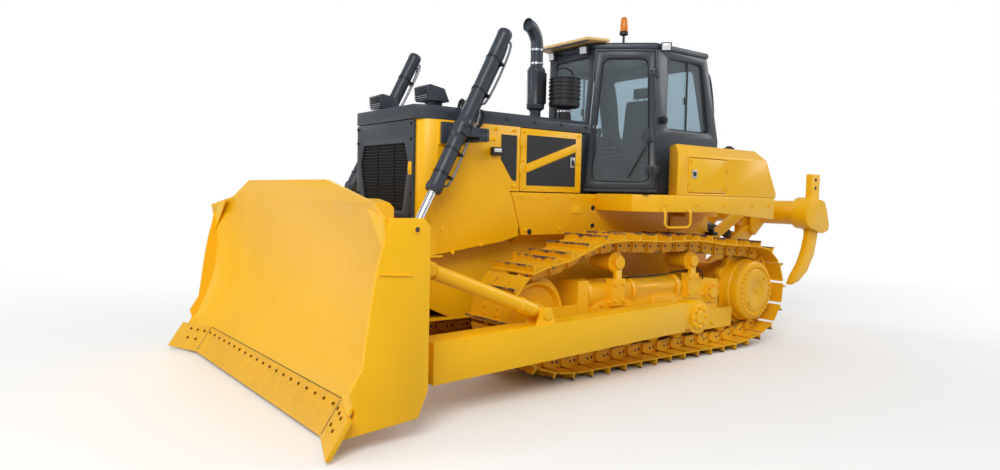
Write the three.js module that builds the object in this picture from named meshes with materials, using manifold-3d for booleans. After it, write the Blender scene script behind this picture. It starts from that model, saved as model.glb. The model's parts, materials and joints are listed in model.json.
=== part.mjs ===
import * as THREE from 'three';
import { mergeVertices } from 'three/addons/utils/BufferGeometryUtils.js';
import Module from 'manifold-3d';

// Crawler bulldozer with a full blade and a three-shank ripper. Millimetres, +X forward, +Y left, +Z up.
// The origin is on the ground, below the middle of the whole machine.

// ---- driving dimensions ----
const SEAT_GAP = 0.4; // gap between pieces bolted or welded to each other
const PIN_PLAY = 0.15; // radial play of a turning pin in its bore
const PIN_SIDES = 16;

const GAUGE_HALF = 1000; // centre of a track from the machine's centre plane
const SHOE_WIDTH = 560;
const LINK_PITCH = 216;
const SHOE_HEIGHT = 75; // pin line to the outer face of a shoe plate
const SHOE_THICK = 14;
const GROUSER_HEIGHT = 60;
const GROUSER_THICK = 16;
const RAIL_DEPTH = 55; // pin line to the rail face that the rollers run on
const RAIL_INNER = 62;
const RAIL_OUTER = 112;

const SPROCKET = { x: -1772, z: 613, pitchRadius: 417 };
const IDLER = { x: 1285, z: 578, pitchRadius: 366, flange: 342 };
const SPROCKET_TEETH = 12;
const SPROCKET_HALF_WIDTH = 32;
const BUSHING_RADIUS = 33;
const ROLLER_RADIUS = 100;
const ROLLER_COUNT = 7;
const ROLLER_FIRST_X = 900;
const ROLLER_PITCH = 368;
const CARRIER_RADIUS = 85;
const CARRIERS = [{ x: 360, pin: 1146 }, { x: -740, pin: 1122 }];
const FINAL_DRIVE_RADIUS = 330;
const FINAL_DRIVE_OUT = 250; // track centre to the hub's outer face
const FINAL_DRIVE_FACE = GAUGE_HALF + FINAL_DRIVE_OUT;

const FRAME_HALF = 130; // half width of a track frame beam
const FRAME_BOTTOM = 430;
const FRAME_TOP = 700;
const FRAME_FRONT = 850;
const FRAME_REAR = -1230;
const RECOIL_RADIUS = 142;

const TRACK_GAP = 100; // from the shoes' inner ends to the machine's sides
const BAY_HALF = GAUGE_HALF - SHOE_WIDTH / 2 - TRACK_GAP; // outer face of the hood, doors and radiator guard
const LEDGE_OUT = 180; // side panels stand this far out from the frame rails
const HULL_HALF = BAY_HALF - LEDGE_OUT;
const HULL_PLATE = 40;
const HULL_BOTTOM = 480;
const HULL_REAR = -1930;
const BAY_PLATE = 20;
const DECK_TOP = 1640;
const DECK_PLATE = 14;
const DECK_EDGE = 165; // height of the platform's skirt
const DECK_FRONT = 130;
const DECK_REAR = -2000;
const DECK_HALF = GAUGE_HALF + SHOE_WIDTH / 2;

const GUARD_FRONT = 2165;
const NOSE_STEP = 100; // the nose is narrower than the sides by this, each side
const GUARD_NOSE_HALF = BAY_HALF - NOSE_STEP;
const GUARD_CORNER = 2010;
const DOOR_FRONT = 1122;
const HOOD_BOTTOM = 2230;
const GUARD_TOP = HOOD_BOTTOM - SEAT_GAP;
const HOOD_TOP = 2350;
const HOOD_REAR = 230;
const HOOD_SHEET = 6;
const HOOD_CHAMFER = 40;
const DOOR_PLAY = 6;

const GRILLE_BORDER = 80;
const GRILLE = { bottom: 1390, top: 2222, thick: 30, opening: GUARD_NOSE_HALF - GRILLE_BORDER, slats: 9 };
const FAN = { x: 2085, z: 1760, radius: 360, hub: 95, shaft: 28, blades: 7, thick: 24 };
const CORE_CLEARANCE = 20;
const CORE = { x: 1960, thick: 110, half: GUARD_NOSE_HALF - CORE_CLEARANCE, bottom: 1080, top: 2180 };
const ENGINE_CLEARANCE = 70; // engine to the frame rails
const ENGINE = { x0: 420, x1: 1640, half: HULL_HALF - HULL_PLATE - ENGINE_CLEARANCE, z1: 2060 };
const ENGINE_MOUNT = 760; // top of the cross member below the engine

const CAB_FLOOR = 1665;
const CAB_WAIST = 2250;
const CAB_HEAD = 3150;
const CAB_WALL = 45;
const CAB_SILL = 25; // door bottom above the cab's lower edge
const ROOF_THICK = 62;
const ROOF_TOP = CAB_HEAD + ROOF_THICK;
const VISOR = { x: 95, half: 415, above: 16, thick: 38 };
const CAB_PLAN = [ // half outline from the screen corner back, at the floor and at the head
  { low: [-15, 280], waist: [-41, 306], head: [-80, 345] },
  { low: [-552, 822], waist: [-539, 809], head: [-520, 790] },
  { low: [-1500, 822], waist: [-1560, 822], head: [-1335, 800] },
];
const CAB_DOOR = { thick: 42, proud: 14, frame: 62, edge: 12 };
// hinge axis from the rear post's edge, and its knuckles above the floor and below the head
const CAB_HINGE = { out: [6, 15], radius: 15.7, low: 1850, below: 300 };
const GLASS = 6;

const TANK_INNER = 935;
const TANK_TOP = 2150;
const TANK_SHOULDER = 2042;
const TANK_SHOULDER_Y = 1165;
const TANK_FRONT_INNER = -600;
const TANK_FRONT_OUTER = -307;
const TANK_DOOR = { x0: -1100, x1: -480, z0: 1672, z1: 2012, thick: 22 };
const FUEL_TANK = { x0: -1990, x1: -1640, half: 915, top: 2100 };

const EXHAUST = { x: 560, y: 150, radius: 92, z0: 2470, z1: 2900, pipe: 66, top: 3160 };
const CLEANER = { x: 330, y: 330, radius: 165, z0: 2500, z1: 2800 };
const LAMP_INSET = 200;
const LAMP_BOX = { x0: 1850, x1: 2075, y: BAY_HALF - LAMP_INSET, half: 112, z0: 2395, z1: 2530 };
const BEACON = { x: -435, y: 400, radius: 48, stalk: 118, height: 200 };

const TRUNNION = { x: -340, z: 490, ball: 108, sides: 28, shaft: 70 };
const ARM_GAP = 88; // shoe ends to the push arm
const ARM_HALF = 112;
const ARM_Y = GAUGE_HALF + SHOE_WIDTH / 2 + ARM_GAP + ARM_HALF;
const ARM_TIP = { x: 2640, z: 420 };
const ARM_REAR_HALF = 132; // half height at the rear
const ARM_FRONT_HALF = 152;
const BLADE_PIN = { x: 2745, z: 420, radius: 42 };
const BRACE_BLADE = { x: 2660, z: 1080 };
const BRACE_ARM = { x: 1565, z: 675 };
const BRACE_RADIUS = 56;
const BRACE_PIN = 30;

const BLADE_FLAT_HALF = ARM_Y - 10; // straight middle of the moldboard
const BLADE_WING = 360; // width of an angled end
const BLADE_HALF = BLADE_FLAT_HALF + BLADE_WING;
const BLADE_WING_ANGLE = 20;
const BLADE_SEAM = { x: 3269, z: 250 };
const BLADE_TOP = { x: 3115, z: 1690 };
const BLADE_CREST_HALF = 850;
const BLADE_SHOULDER = 1445;
const BLADE_ENTRY = 57; // slope of the moldboard at the seam, degrees from the ground
const BLADE_SKIN = 22;
const BLADE_BACK = 2850;
const SIDE_PLATE = 30;
const EDGE_TIP = { x: 3415, z: 26 };
const EDGE_THICK = 32;
const BIT_OUT = 75; // end bits stand this far out of the side plates
const BIT_HALF = BLADE_HALF + BIT_OUT;

const LIFT_OUT = 140; // cylinders from the machine's sides
const LIFT_Y = BAY_HALF + LIFT_OUT;
const LIFT_TRUNNION = { x: 1884, z: 2139 };
const LIFT_EYE = { x: 2640, z: 673 };
const LIFT_BARREL = { radius: 64, bore: 52, up: 1000, down: 585 };
const LIFT_ROD = { radius: 36, length: 1700, eye: 62, width: 70 };
const YOKE = { pin: 34, arm: 46 };

const RIPPER_LOW = { x: -2040, z: 760 };
const RIPPER_HIGH = { x: -2040, z: 1090 };
const RIPPER_REACH = { x: -905, z: 470 }; // both links run from the frame to the beam by this much
const RIPPER_LINK_IN = 78; // links from the frame's sides
const RIPPER_LINK_Y = HULL_HALF - RIPPER_LINK_IN;
const RIPPER_PIN = 38;
const BEAM = { x: -3175, z: 1465, radius: 150, half: 1105, pocket: 195, pocketHalf: 105 };
const SHANKS = [1000, 0, -1000];
const SHANK_HALF = 38;
const RIP_CYL_Y = 190;
const RIP_CYL_BASE = { x: -2040, z: 1330 };
const RIP_CYL_EYE = { x: -2803, z: 1156 };
const RIP_CYL = { radius: 56, bore: 45, rod: 30, start: 95, end: 690, rodLength: 652, eye: 48 };

// ---- solids ----
const wasm = await Module();
wasm.setup();

function toSolid(geometry) {
  const plain = geometry.index ? geometry.toNonIndexed() : geometry.clone();
  plain.deleteAttribute('normal');
  plain.deleteAttribute('uv');
  const merged = mergeVertices(plain, 1e-3);
  const vertProperties = new Float32Array(merged.attributes.position.array);
  const triVerts = new Uint32Array(merged.index.array);
  return new wasm.Manifold(new wasm.Mesh({ numProp: 3, vertProperties, triVerts }));
}

function toGeometry(solid) {
  const mesh = solid.getMesh();
  const positions = new Float32Array(mesh.numVert * 3);
  for (let i = 0; i < mesh.numVert; i += 1) {
    const start = i * mesh.numProp;
    positions.set(mesh.vertProperties.subarray(start, start + 3), i * 3);
  }
  const geometry = new THREE.BufferGeometry();
  geometry.setAttribute('position', new THREE.BufferAttribute(positions, 3));
  geometry.setIndex(new THREE.BufferAttribute(new Uint32Array(mesh.triVerts), 1));
  geometry.computeVertexNormals();
  return geometry;
}

const X_AXIS = new THREE.Vector3(1, 0, 0);
const Y_AXIS = new THREE.Vector3(0, 1, 0);
const Z_AXIS = new THREE.Vector3(0, 0, 1);
const degrees = (value) => value * Math.PI / 180;
const join = (...solids) => solids.reduce((sum, solid) => sum.add(solid));
const cut = (solid, ...tools) => tools.reduce((rest, tool) => rest.subtract(tool), solid);

function box(x0, x1, y0, y1, z0, z1) {
  const geometry = new THREE.BoxGeometry(x1 - x0, y1 - y0, z1 - z0);
  geometry.translate((x0 + x1) / 2, (y0 + y1) / 2, (z0 + z1) / 2);
  return toSolid(geometry);
}

function outline(points, holes = []) {
  const shape = new THREE.Shape(points.map(([a, b]) => new THREE.Vector2(a, b)));
  holes.forEach((hole) => shape.holes.push(new THREE.Path(hole.map(([a, b]) => new THREE.Vector2(a, b)))));
  return shape;
}

function extrude(shape, depth) {
  return new THREE.ExtrudeGeometry(shape, { depth, bevelEnabled: false, steps: 1 });
}

// points are [x, z]
function prismY(points, y0, y1, holes = []) {
  const geometry = extrude(outline(points, holes), y1 - y0);
  geometry.rotateX(Math.PI / 2);
  geometry.translate(0, y1, 0);
  return toSolid(geometry);
}

// points are [y, z]
function prismX(points, x0, x1, holes = []) {
  const geometry = extrude(outline(points, holes), x1 - x0);
  geometry.applyMatrix4(new THREE.Matrix4().makeBasis(Y_AXIS, Z_AXIS, X_AXIS));
  geometry.translate(x0, 0, 0);
  return toSolid(geometry);
}

// points are [x, y]
function prismZ(points, z0, z1, holes = []) {
  const geometry = extrude(outline(points, holes), z1 - z0);
  geometry.translate(0, 0, z0);
  return toSolid(geometry);
}

// round bar between two points
function bar(from, to, radius, sides = 10) {
  const start = new THREE.Vector3(...from);
  const end = new THREE.Vector3(...to);
  const along = end.clone().sub(start);
  const geometry = new THREE.CylinderGeometry(radius, radius, along.length(), sides);
  geometry.applyQuaternion(new THREE.Quaternion().setFromUnitVectors(Y_AXIS, along.normalize()));
  const middle = start.add(end).multiplyScalar(0.5);
  geometry.translate(middle.x, middle.y, middle.z);
  return toSolid(geometry);
}

// bore that a many-sided pin can turn in, and one that holds or guides a pin that doesn't turn
const boreRadius = (radius, sides = PIN_SIDES) => (radius + PIN_PLAY) / Math.cos(Math.PI / sides);
const closeBore = (radius) => radius + SEAT_GAP / Math.cos(Math.PI / 12);
const barY = (x, z, y0, y1, radius, sides = 10) => bar([x, y0, z], [x, y1, z], radius, sides);
const barX = (y, z, x0, x1, radius, sides = 10) => bar([x0, y, z], [x1, y, z], radius, sides);
const barZ = (x, y, z0, z1, radius, sides = 10) => bar([x, y, z0], [x, y, z1], radius, sides);

// turned body on an axis parallel to Y through [x, z]; profile is [radius, y] and starts and ends on the axis
function turnedY(x, z, profile, sides = 20) {
  const geometry = new THREE.LatheGeometry(profile.map(([r, y]) => new THREE.Vector2(r, y)), sides);
  geometry.translate(x, 0, z);
  return facingOut(geometry);
}

function facingOut(geometry) {
  const solid = toSolid(geometry);
  if (solid.volume() > 0) return solid;
  const flat = geometry.index ? geometry.toNonIndexed() : geometry;
  const position = flat.attributes.position;
  for (let i = 0; i < position.count; i += 3) {
    const a = new THREE.Vector3().fromBufferAttribute(position, i);
    const b = new THREE.Vector3().fromBufferAttribute(position, i + 1);
    position.setXYZ(i, b.x, b.y, b.z);
    position.setXYZ(i + 1, a.x, a.y, a.z);
  }
  return toSolid(flat);
}

// closed body through rings of equally many points, each ring counter-clockwise seen from above
function loft(rings) {
  const count = rings[0].length;
  const corners = [];
  const face = (...points) => points.forEach((point) => corners.push(...point));
  rings.slice(1).forEach((upper, level) => {
    const lower = rings[level];
    for (let i = 0; i < count; i += 1) {
      const j = (i + 1) % count;
      face(lower[i], lower[j], upper[j]);
      face(lower[i], upper[j], upper[i]);
    }
  });
  const top = rings[rings.length - 1];
  for (let i = 1; i < count - 1; i += 1) {
    face(rings[0][0], rings[0][i + 1], rings[0][i]);
    face(top[0], top[i], top[i + 1]);
  }
  const geometry = new THREE.BufferGeometry();
  geometry.setAttribute('position', new THREE.BufferAttribute(new Float32Array(corners), 3));
  return toSolid(geometry);
}

// ---- materials and scene graph ----
const finish = (color, roughness, metalness) => ({ color, roughness, metalness });
const YELLOW = finish('#f2b200', 0.4, 0.0);
const SLATE = finish('#3b434c', 0.45, 0.1);
const BLACK = finish('#1b1c1e', 0.6, 0.0);
const CHROME = finish('#d9dcdf', 0.12, 1.0);
const STEEL = finish('#7c7068', 0.6, 0.8);
const PANE = finish('#9fb9bd', 0.05, 0.0);

const machine = new THREE.Group();
const sides = [
  { name: 'left', group: new THREE.Group() },
  { name: 'right', group: new THREE.Group() },
];
sides[1].group.scale.y = -1;
sides.forEach(({ group }) => machine.add(group));

function place(parent, name, solid, look) {
  const mesh = new THREE.Mesh(toGeometry(solid), new THREE.MeshStandardMaterial(look));
  mesh.name = name;
  parent.add(mesh);
  return mesh;
}

// one copy for the machine's left, and its mirror image for the right
function placeBoth(name, solid, look) {
  sides.forEach(({ name: side, group }) => place(group, `${side}_${name}`, solid, look));
}

// ---- track chain ----
const PIN_LINE = GROUSER_HEIGHT + SHOE_HEIGHT; // height of the lower run's pins
const arc = (centre, from, to, steps) => Array.from({ length: steps + 1 }, (_, i) => {
  const angle = degrees(from + (to - from) * i / steps);
  return [centre.x + centre.pitchRadius * Math.cos(angle), centre.z + centre.pitchRadius * Math.sin(angle)];
});

function chainPins() {
  const rollerLast = ROLLER_FIRST_X - ROLLER_PITCH * (ROLLER_COUNT - 1);
  const [front, rear] = CARRIERS;
  const idlerTop = IDLER.z + IDLER.pitchRadius;
  const sprocketTop = SPROCKET.z + SPROCKET.pitchRadius;
  const path = [
    [rollerLast - 110, PIN_LINE],
    [(rollerLast + ROLLER_FIRST_X) / 2, PIN_LINE],
    [ROLLER_FIRST_X + 130, PIN_LINE],
    ...arc(IDLER, -66, 72, 8),
    [IDLER.x - 270, idlerTop + 52],
    [front.x + 330, front.pin - 28],
    [front.x, front.pin],
    [(front.x + rear.x) / 2, (front.pin + rear.pin) / 2 - 9],
    [rear.x, rear.pin],
    [rear.x - 330, sprocketTop + 50],
    ...arc(SPROCKET, 96, 262, 10),
  ];
  const points = path.map(([x, z]) => new THREE.Vector3(x, 0, z));
  const curve = new THREE.CatmullRomCurve3(points, true, 'centripetal');
  curve.arcLengthDivisions = 2000;
  const links = Math.round(curve.getLength() / LINK_PITCH);
  return curve.getSpacedPoints(links).slice(0, links).map((point) => [point.x, Math.max(point.z, PIN_LINE)]);
}

const pins = chainPins();

// outward direction of the link that starts at pin i
function linkFrame(i) {
  const [x, z] = pins[i];
  const [nextX, nextZ] = pins[(i + 1) % pins.length];
  const length = Math.hypot(nextX - x, nextZ - z);
  const along = [(nextX - x) / length, (nextZ - z) / length];
  return { x, z, along, out: [along[1], -along[0]], length };
}

function offsetLoop(offset) {
  return pins.map((pin, i) => {
    const before = linkFrame((i + pins.length - 1) % pins.length);
    const after = linkFrame(i);
    const sumX = before.out[0] + after.out[0];
    const sumZ = before.out[1] + after.out[1];
    const scale = 2 * offset / (sumX * sumX + sumZ * sumZ);
    return [pin[0] + sumX * scale, pin[1] + sumZ * scale];
  });
}

function shoeLoop() {
  const outer = [];
  pins.forEach((_, i) => {
    const link = linkFrame(i);
    const at = (s, n) => outer.push([
      link.x + link.along[0] * s + link.out[0] * n,
      link.z + link.along[1] * s + link.out[1] * n,
    ]);
    const root = SHOE_HEIGHT;
    const tip = SHOE_HEIGHT + GROUSER_HEIGHT;
    at(20, root);
    at(24, tip);
    at(24 + GROUSER_THICK, tip);
    at(28 + GROUSER_THICK, root);
    at(link.length - 10, root);
  });
  return outer;
}

const shoes = prismY(shoeLoop(), GAUGE_HALF - SHOE_WIDTH / 2, GAUGE_HALF + SHOE_WIDTH / 2,
  [offsetLoop(SHOE_HEIGHT - SHOE_THICK)]);
const rails = [-1, 1].map((side) => {
  const near = GAUGE_HALF + side * RAIL_INNER;
  const far = GAUGE_HALF + side * RAIL_OUTER;
  return prismY(offsetLoop(SHOE_HEIGHT - SHOE_THICK + 2), Math.min(near, far), Math.max(near, far),
    [offsetLoop(-RAIL_DEPTH)]);
});
placeBoth('track', join(shoes, ...rails), YELLOW);

// ---- idler, final drive with sprocket ----
const idlerTread = Math.sqrt(IDLER.pitchRadius ** 2 - (LINK_PITCH / 2) ** 2) - RAIL_DEPTH - 1;
const IDLER_HALF = 92;
const IDLER_SHAFT = 60;
const idlerSide = GAUGE_HALF - IDLER_HALF;
const idlerWheel = join(
  barY(IDLER.x, IDLER.z, GAUGE_HALF - RAIL_OUTER + 6, GAUGE_HALF + RAIL_OUTER - 6, idlerTread, 18),
  barY(IDLER.x, IDLER.z, GAUGE_HALF - RAIL_INNER + 10, GAUGE_HALF + RAIL_INNER - 10, IDLER.flange, 18),
);
const idlerDish = turnedY(IDLER.x, IDLER.z, [
  [0, GAUGE_HALF + 60], [235, GAUGE_HALF + 60], [262, GAUGE_HALF + RAIL_OUTER], [0, GAUGE_HALF + RAIL_OUTER],
], 18);
const idlerShaft = barY(IDLER.x, IDLER.z, idlerSide - 40, GAUGE_HALF + IDLER_HALF + 40, IDLER_SHAFT);
const idlerHub = barY(IDLER.x, IDLER.z, GAUGE_HALF - 70, GAUGE_HALF + 100, 95);
placeBoth('idler', join(cut(idlerWheel, idlerDish), idlerHub, idlerShaft), YELLOW);

function sprocketOutline() {
  const root = SPROCKET.pitchRadius - BUSHING_RADIUS - 6;
  const tip = SPROCKET.pitchRadius + 18;
  const step = 360 / SPROCKET_TEETH;
  const points = [];
  for (let i = 0; i < SPROCKET_TEETH; i += 1) {
    [[-0.36, root], [-0.14, tip], [0.14, tip], [0.36, root]].forEach(([share, radius]) => {
      const angle = degrees(step * (i + share));
      points.push([SPROCKET.x + radius * Math.cos(angle), SPROCKET.z + radius * Math.sin(angle)]);
    });
  }
  return points;
}

const finalDrive = turnedY(SPROCKET.x, SPROCKET.z, [
  [0, HULL_HALF + SEAT_GAP],
  [250, HULL_HALF + SEAT_GAP],
  [250, HULL_HALF + 200],
  [FINAL_DRIVE_RADIUS - 25, GAUGE_HALF - 240],
  [FINAL_DRIVE_RADIUS + 12, GAUGE_HALF - 100],
  [FINAL_DRIVE_RADIUS + 12, FINAL_DRIVE_FACE - 130],
  [FINAL_DRIVE_RADIUS, FINAL_DRIVE_FACE - 120],
  [FINAL_DRIVE_RADIUS, FINAL_DRIVE_FACE - 40],
  [FINAL_DRIVE_RADIUS - 30, FINAL_DRIVE_FACE - 12],
  [235, FINAL_DRIVE_FACE - 12],
  [235, FINAL_DRIVE_FACE],
  [0, FINAL_DRIVE_FACE],
], 18);
const sprocketRim = prismY(sprocketOutline(), GAUGE_HALF - SPROCKET_HALF_WIDTH,
  GAUGE_HALF + SPROCKET_HALF_WIDTH);
placeBoth('final_drive', join(finalDrive, sprocketRim), YELLOW);

// ---- track frame with its rollers ----
function trackFrame() {
  const low = GAUGE_HALF - FRAME_HALF;
  const high = GAUGE_HALF + FRAME_HALF;
  const solids = [
    prismY([
      [FRAME_REAR, FRAME_BOTTOM], [FRAME_FRONT, FRAME_BOTTOM], [FRAME_FRONT, FRAME_TOP],
      [-980, FRAME_TOP + 90], [FRAME_REAR, FRAME_TOP + 60],
    ], low, high),
    barX(GAUGE_HALF, FRAME_TOP, -620, FRAME_FRONT, RECOIL_RADIUS, 12),
    box(FRAME_FRONT - 130, FRAME_FRONT, GAUGE_HALF - 150, GAUGE_HALF + 150, 520, FRAME_TOP + 150),
  ];
  // guide arms that carry the idler shaft, and the roller guards
  [-1, 1].forEach((side) => {
    const armY = GAUGE_HALF + side * (IDLER_HALF + 36);
    const guardY = GAUGE_HALF + side * 146;
    const arm = box(FRAME_FRONT - 60, IDLER.x + 130, armY - 16, armY + 16, IDLER.z - 90, IDLER.z + 62);
    solids.push(cut(arm, barY(IDLER.x, IDLER.z, armY - 30, armY + 30, closeBore(IDLER_SHAFT))));
    solids.push(box(ROLLER_FIRST_X - ROLLER_PITCH * (ROLLER_COUNT - 1) - 150, ROLLER_FIRST_X + 110,
      guardY - 10, guardY + 10, 240, FRAME_BOTTOM + 20));
  });
  solids.push(box(FRAME_REAR, FRAME_FRONT, GAUGE_HALF - 156, GAUGE_HALF + 156,
    FRAME_BOTTOM, FRAME_BOTTOM + 25));
  const rollerZ = PIN_LINE + RAIL_DEPTH + SEAT_GAP + ROLLER_RADIUS;
  for (let i = 0; i < ROLLER_COUNT; i += 1) {
    const x = ROLLER_FIRST_X - ROLLER_PITCH * i;
    solids.push(barY(x, rollerZ, GAUGE_HALF - 140, GAUGE_HALF + 140, ROLLER_RADIUS, 12));
  }
  CARRIERS.forEach(({ x, pin }) => {
    const z = pin - RAIL_DEPTH - CARRIER_RADIUS - 4;
    solids.push(barY(x, z, GAUGE_HALF - 118, GAUGE_HALF + 150, CARRIER_RADIUS, 12));
    solids.push(box(x - 38, x + 38, GAUGE_HALF + 142, GAUGE_HALF + 180, 640, z + 45));
    solids.push(box(x - 80, x + 80, GAUGE_HALF + 90, GAUGE_HALF + 186, 600, 850));
  });
  // trunnion ball that the blade's push arm turns on
  solids.push(barY(TRUNNION.x, TRUNNION.z, high - 20, ARM_Y, TRUNNION.shaft));
  solids.push(barY(TRUNNION.x, TRUNNION.z, ARM_Y - 60, ARM_Y + 60, TRUNNION.ball, TRUNNION.sides));
  solids.push(box(TRUNNION.x - 170, TRUNNION.x + 170, high - 10, high + 40, 445, 640));
  return join(...solids);
}
placeBoth('track_frame', trackFrame(), YELLOW);

// ---- main frame ----
function mainFrame() {
  const solids = [
    box(HULL_REAR, -1250, -HULL_HALF, HULL_HALF, HULL_BOTTOM + 20, 1440),
    box(-1300, 2060, -HULL_HALF, HULL_HALF, HULL_BOTTOM, HULL_BOTTOM + 25),
    box(1960, 2060, -HULL_HALF, HULL_HALF, HULL_BOTTOM, 1000),
    box(640, 760, -HULL_HALF, HULL_HALF, HULL_BOTTOM, ENGINE_MOUNT),
  ];
  [-1, 1].forEach((side) => {
    const rail = [side * (HULL_HALF - HULL_PLATE), side * HULL_HALF].sort((a, b) => a - b);
    const skin = [side * (BAY_HALF - BAY_PLATE), side * BAY_HALF].sort((a, b) => a - b);
    const shelf = [side * (HULL_HALF - 5), side * BAY_HALF].sort((a, b) => a - b);
    solids.push(prismY([
      [-1300, HULL_BOTTOM], [1700, HULL_BOTTOM], [2060, 640], [2060, 1062 - SEAT_GAP],
      [1940, 1062 - SEAT_GAP],
      [1300, 1180], [-1300, 1180],
    ], ...rail));
    // lower engine side panel and the ledge that carries it
    solids.push(prismY([
      [-1000, 1240], [DECK_FRONT - 20, 1240], [1088, 1240], [1196, DECK_TOP - 60], [1225, DECK_TOP - 6],
      [-1000, DECK_TOP - 6],
    ], ...skin));
    solids.push(box(-1000, 1088, ...shelf, 1240, 1262));
    solids.push(prismX([
      [side * (HULL_HALF - 20), 1150], [side * HULL_HALF, 1150], [side * (BAY_HALF - 10), 1250],
      [side * (HULL_HALF - 20), 1250],
    ], -1000, 1080));
    // mounting pads under the platform
    solids.push(box(-1900, -1300, ...shelf, DECK_TOP - DECK_PLATE - 220, DECK_TOP - DECK_PLATE - SEAT_GAP));
  });
  solids.push(box(-1900, -1300, -HULL_HALF, HULL_HALF, 1430, DECK_TOP - DECK_PLATE - SEAT_GAP));
  // floor that carries the cab, between the side panels
  solids.push(box(-1000, 60, -BAY_HALF + 10, BAY_HALF - 10, DECK_TOP - 30, DECK_TOP - 6));
  solids.push(box(-1310, -990, -BAY_HALF, BAY_HALF, DECK_TOP - 30, DECK_TOP - 16));
  // pivot shafts and equalizer bar that hold the track frames
  const frameInner = GAUGE_HALF - FRAME_HALF - SEAT_GAP;
  solids.push(bar([-1150, -frameInner, 600], [-1150, frameInner, 600], 85, 12));
  solids.push(box(540, 660, -frameInner, frameInner, 500, 620));
  return solids;
}

// ---- ripper bracket joins the main frame at the rear ----
function ripperBracket() {
  const solids = [box(HULL_REAR - 20, HULL_REAR + 5, -HULL_HALF, HULL_HALF, 620, 1440)];
  const eyes = [
    { at: RIPPER_LOW, y: RIPPER_LINK_Y, reach: 95 },
    { at: RIPPER_HIGH, y: RIPPER_LINK_Y, reach: 80 },
    { at: RIP_CYL_BASE, y: RIP_CYL_Y, reach: 70 },
  ];
  eyes.forEach(({ at, y, reach }) => {
    [-1, 1].forEach((side) => {
      [-1, 1].forEach((cheek) => {
        const middle = side * y + cheek * 52;
        solids.push(join(
          box(at.x, HULL_REAR + 2, middle - 14, middle + 14, at.z - reach, at.z + reach),
          barY(at.x, at.z, middle - 14, middle + 14, reach, 12),
        ));
      });
      solids.push(barY(at.x, at.z, side * y - 60, side * y + 60, RIPPER_PIN, PIN_SIDES));
    });
  });
  return solids;
}
place(machine, 'main_frame', join(...mainFrame(), ...ripperBracket()), YELLOW);
place(machine, 'engine_block', box(ENGINE.x0, ENGINE.x1,
  -ENGINE.half, ENGINE.half, ENGINE_MOUNT + SEAT_GAP, ENGINE.z1), STEEL);

// ---- radiator guard with the fixed side panels ----
function radiatorGuard() {
  const wall = BAY_PLATE;
  const plan = (inset) => [
    [DOOR_FRONT + DOOR_PLAY, BAY_HALF - inset], [GUARD_CORNER, BAY_HALF - inset],
    [GUARD_CORNER + 95, BAY_HALF - 28 - inset * 0.9], [GUARD_FRONT - inset, GUARD_NOSE_HALF - inset * 0.5],
    [GUARD_FRONT - inset, -GUARD_NOSE_HALF + inset * 0.5], [GUARD_CORNER + 95, -BAY_HALF + 28 + inset * 0.9],
    [GUARD_CORNER, -BAY_HALF + inset], [DOOR_FRONT + DOOR_PLAY, -BAY_HALF + inset],
  ].reverse();
  const shell = cut(prismZ(plan(0), 800, GUARD_TOP), prismZ(plan(wall), 700, GUARD_TOP + 50));
  // side view: the rear edge slants down to the belly
  const side = [
    [GUARD_FRONT + 50, 1060], [GUARD_FRONT + 50, GUARD_TOP + 20], [DOOR_FRONT + DOOR_PLAY, GUARD_TOP + 20],
    [DOOR_FRONT + DOOR_PLAY, DECK_TOP + 2], [1240, DECK_TOP + 2], [1208, DECK_TOP - 60], [1100, 1240],
    [1300, 1186],
  ];
  const rearOpen = box(DOOR_FRONT - 50, DOOR_FRONT + 21 + wall, -BAY_HALF + wall, BAY_HALF - wall,
    700, GUARD_TOP + 60);
  const window = box(GUARD_FRONT - 60, GUARD_FRONT + 60, -GUARD_NOSE_HALF + 40, GUARD_NOSE_HALF - 40,
    GRILLE.bottom + 20, GRILLE.top - 20);
  const skin = cut(shell.intersect(prismY(side, -BAY_HALF - 10, BAY_HALF + 10)), rearOpen, window);
  const solids = [skin];
  // floor plate that sits on the frame rails
  solids.push(box(1945, 2070, -BAY_HALF + 5, BAY_HALF - 5, 1062, 1080));
  // yoke pads on the sides
  [-1, 1].forEach((s) => {
    const pad = [s * (BAY_HALF - 8), s * (BAY_HALF + 14)].sort((a, b) => a - b);
    solids.push(box(LIFT_TRUNNION.x - 130, LIFT_TRUNNION.x + 130, ...pad,
      LIFT_TRUNNION.z - 120, LIFT_TRUNNION.z + 80));
  });
  return join(...solids);
}
place(machine, 'radiator_guard', radiatorGuard(), YELLOW);

const coreFeet = box(CORE.x - 30, CORE.x + CORE.thick, -CORE.half, CORE.half,
  CORE.bottom + SEAT_GAP, CORE.bottom + 40);
const core = join(box(CORE.x - CORE.thick / 2, CORE.x + CORE.thick / 2, -CORE.half, CORE.half,
  CORE.bottom + 5, CORE.top), coreFeet);
const fanShaft = barX(0, FAN.z, CORE.x + CORE.thick / 2 - 5, FAN.x + 20, FAN.shaft, PIN_SIDES);
place(machine, 'radiator_core', join(core, fanShaft), BLACK);

function fanRotor() {
  const solids = [barX(0, FAN.z, FAN.x - 28, FAN.x + 28, FAN.hub, 12)];
  for (let i = 0; i < FAN.blades; i += 1) {
    const blade = new THREE.BoxGeometry(FAN.thick / 3, 150, FAN.radius - FAN.hub + 30);
    blade.rotateZ(degrees(28));
    blade.translate(0, 0, (FAN.radius + FAN.hub - 30) / 2);
    blade.rotateX(Math.PI * 2 * i / FAN.blades);
    blade.translate(FAN.x, 0, FAN.z);
    solids.push(toSolid(blade));
  }
  return cut(join(...solids), barX(0, FAN.z, FAN.x - 60, FAN.x + 60, boreRadius(FAN.shaft), PIN_SIDES));
}
place(machine, 'radiator_fan', fanRotor(), YELLOW);

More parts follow.
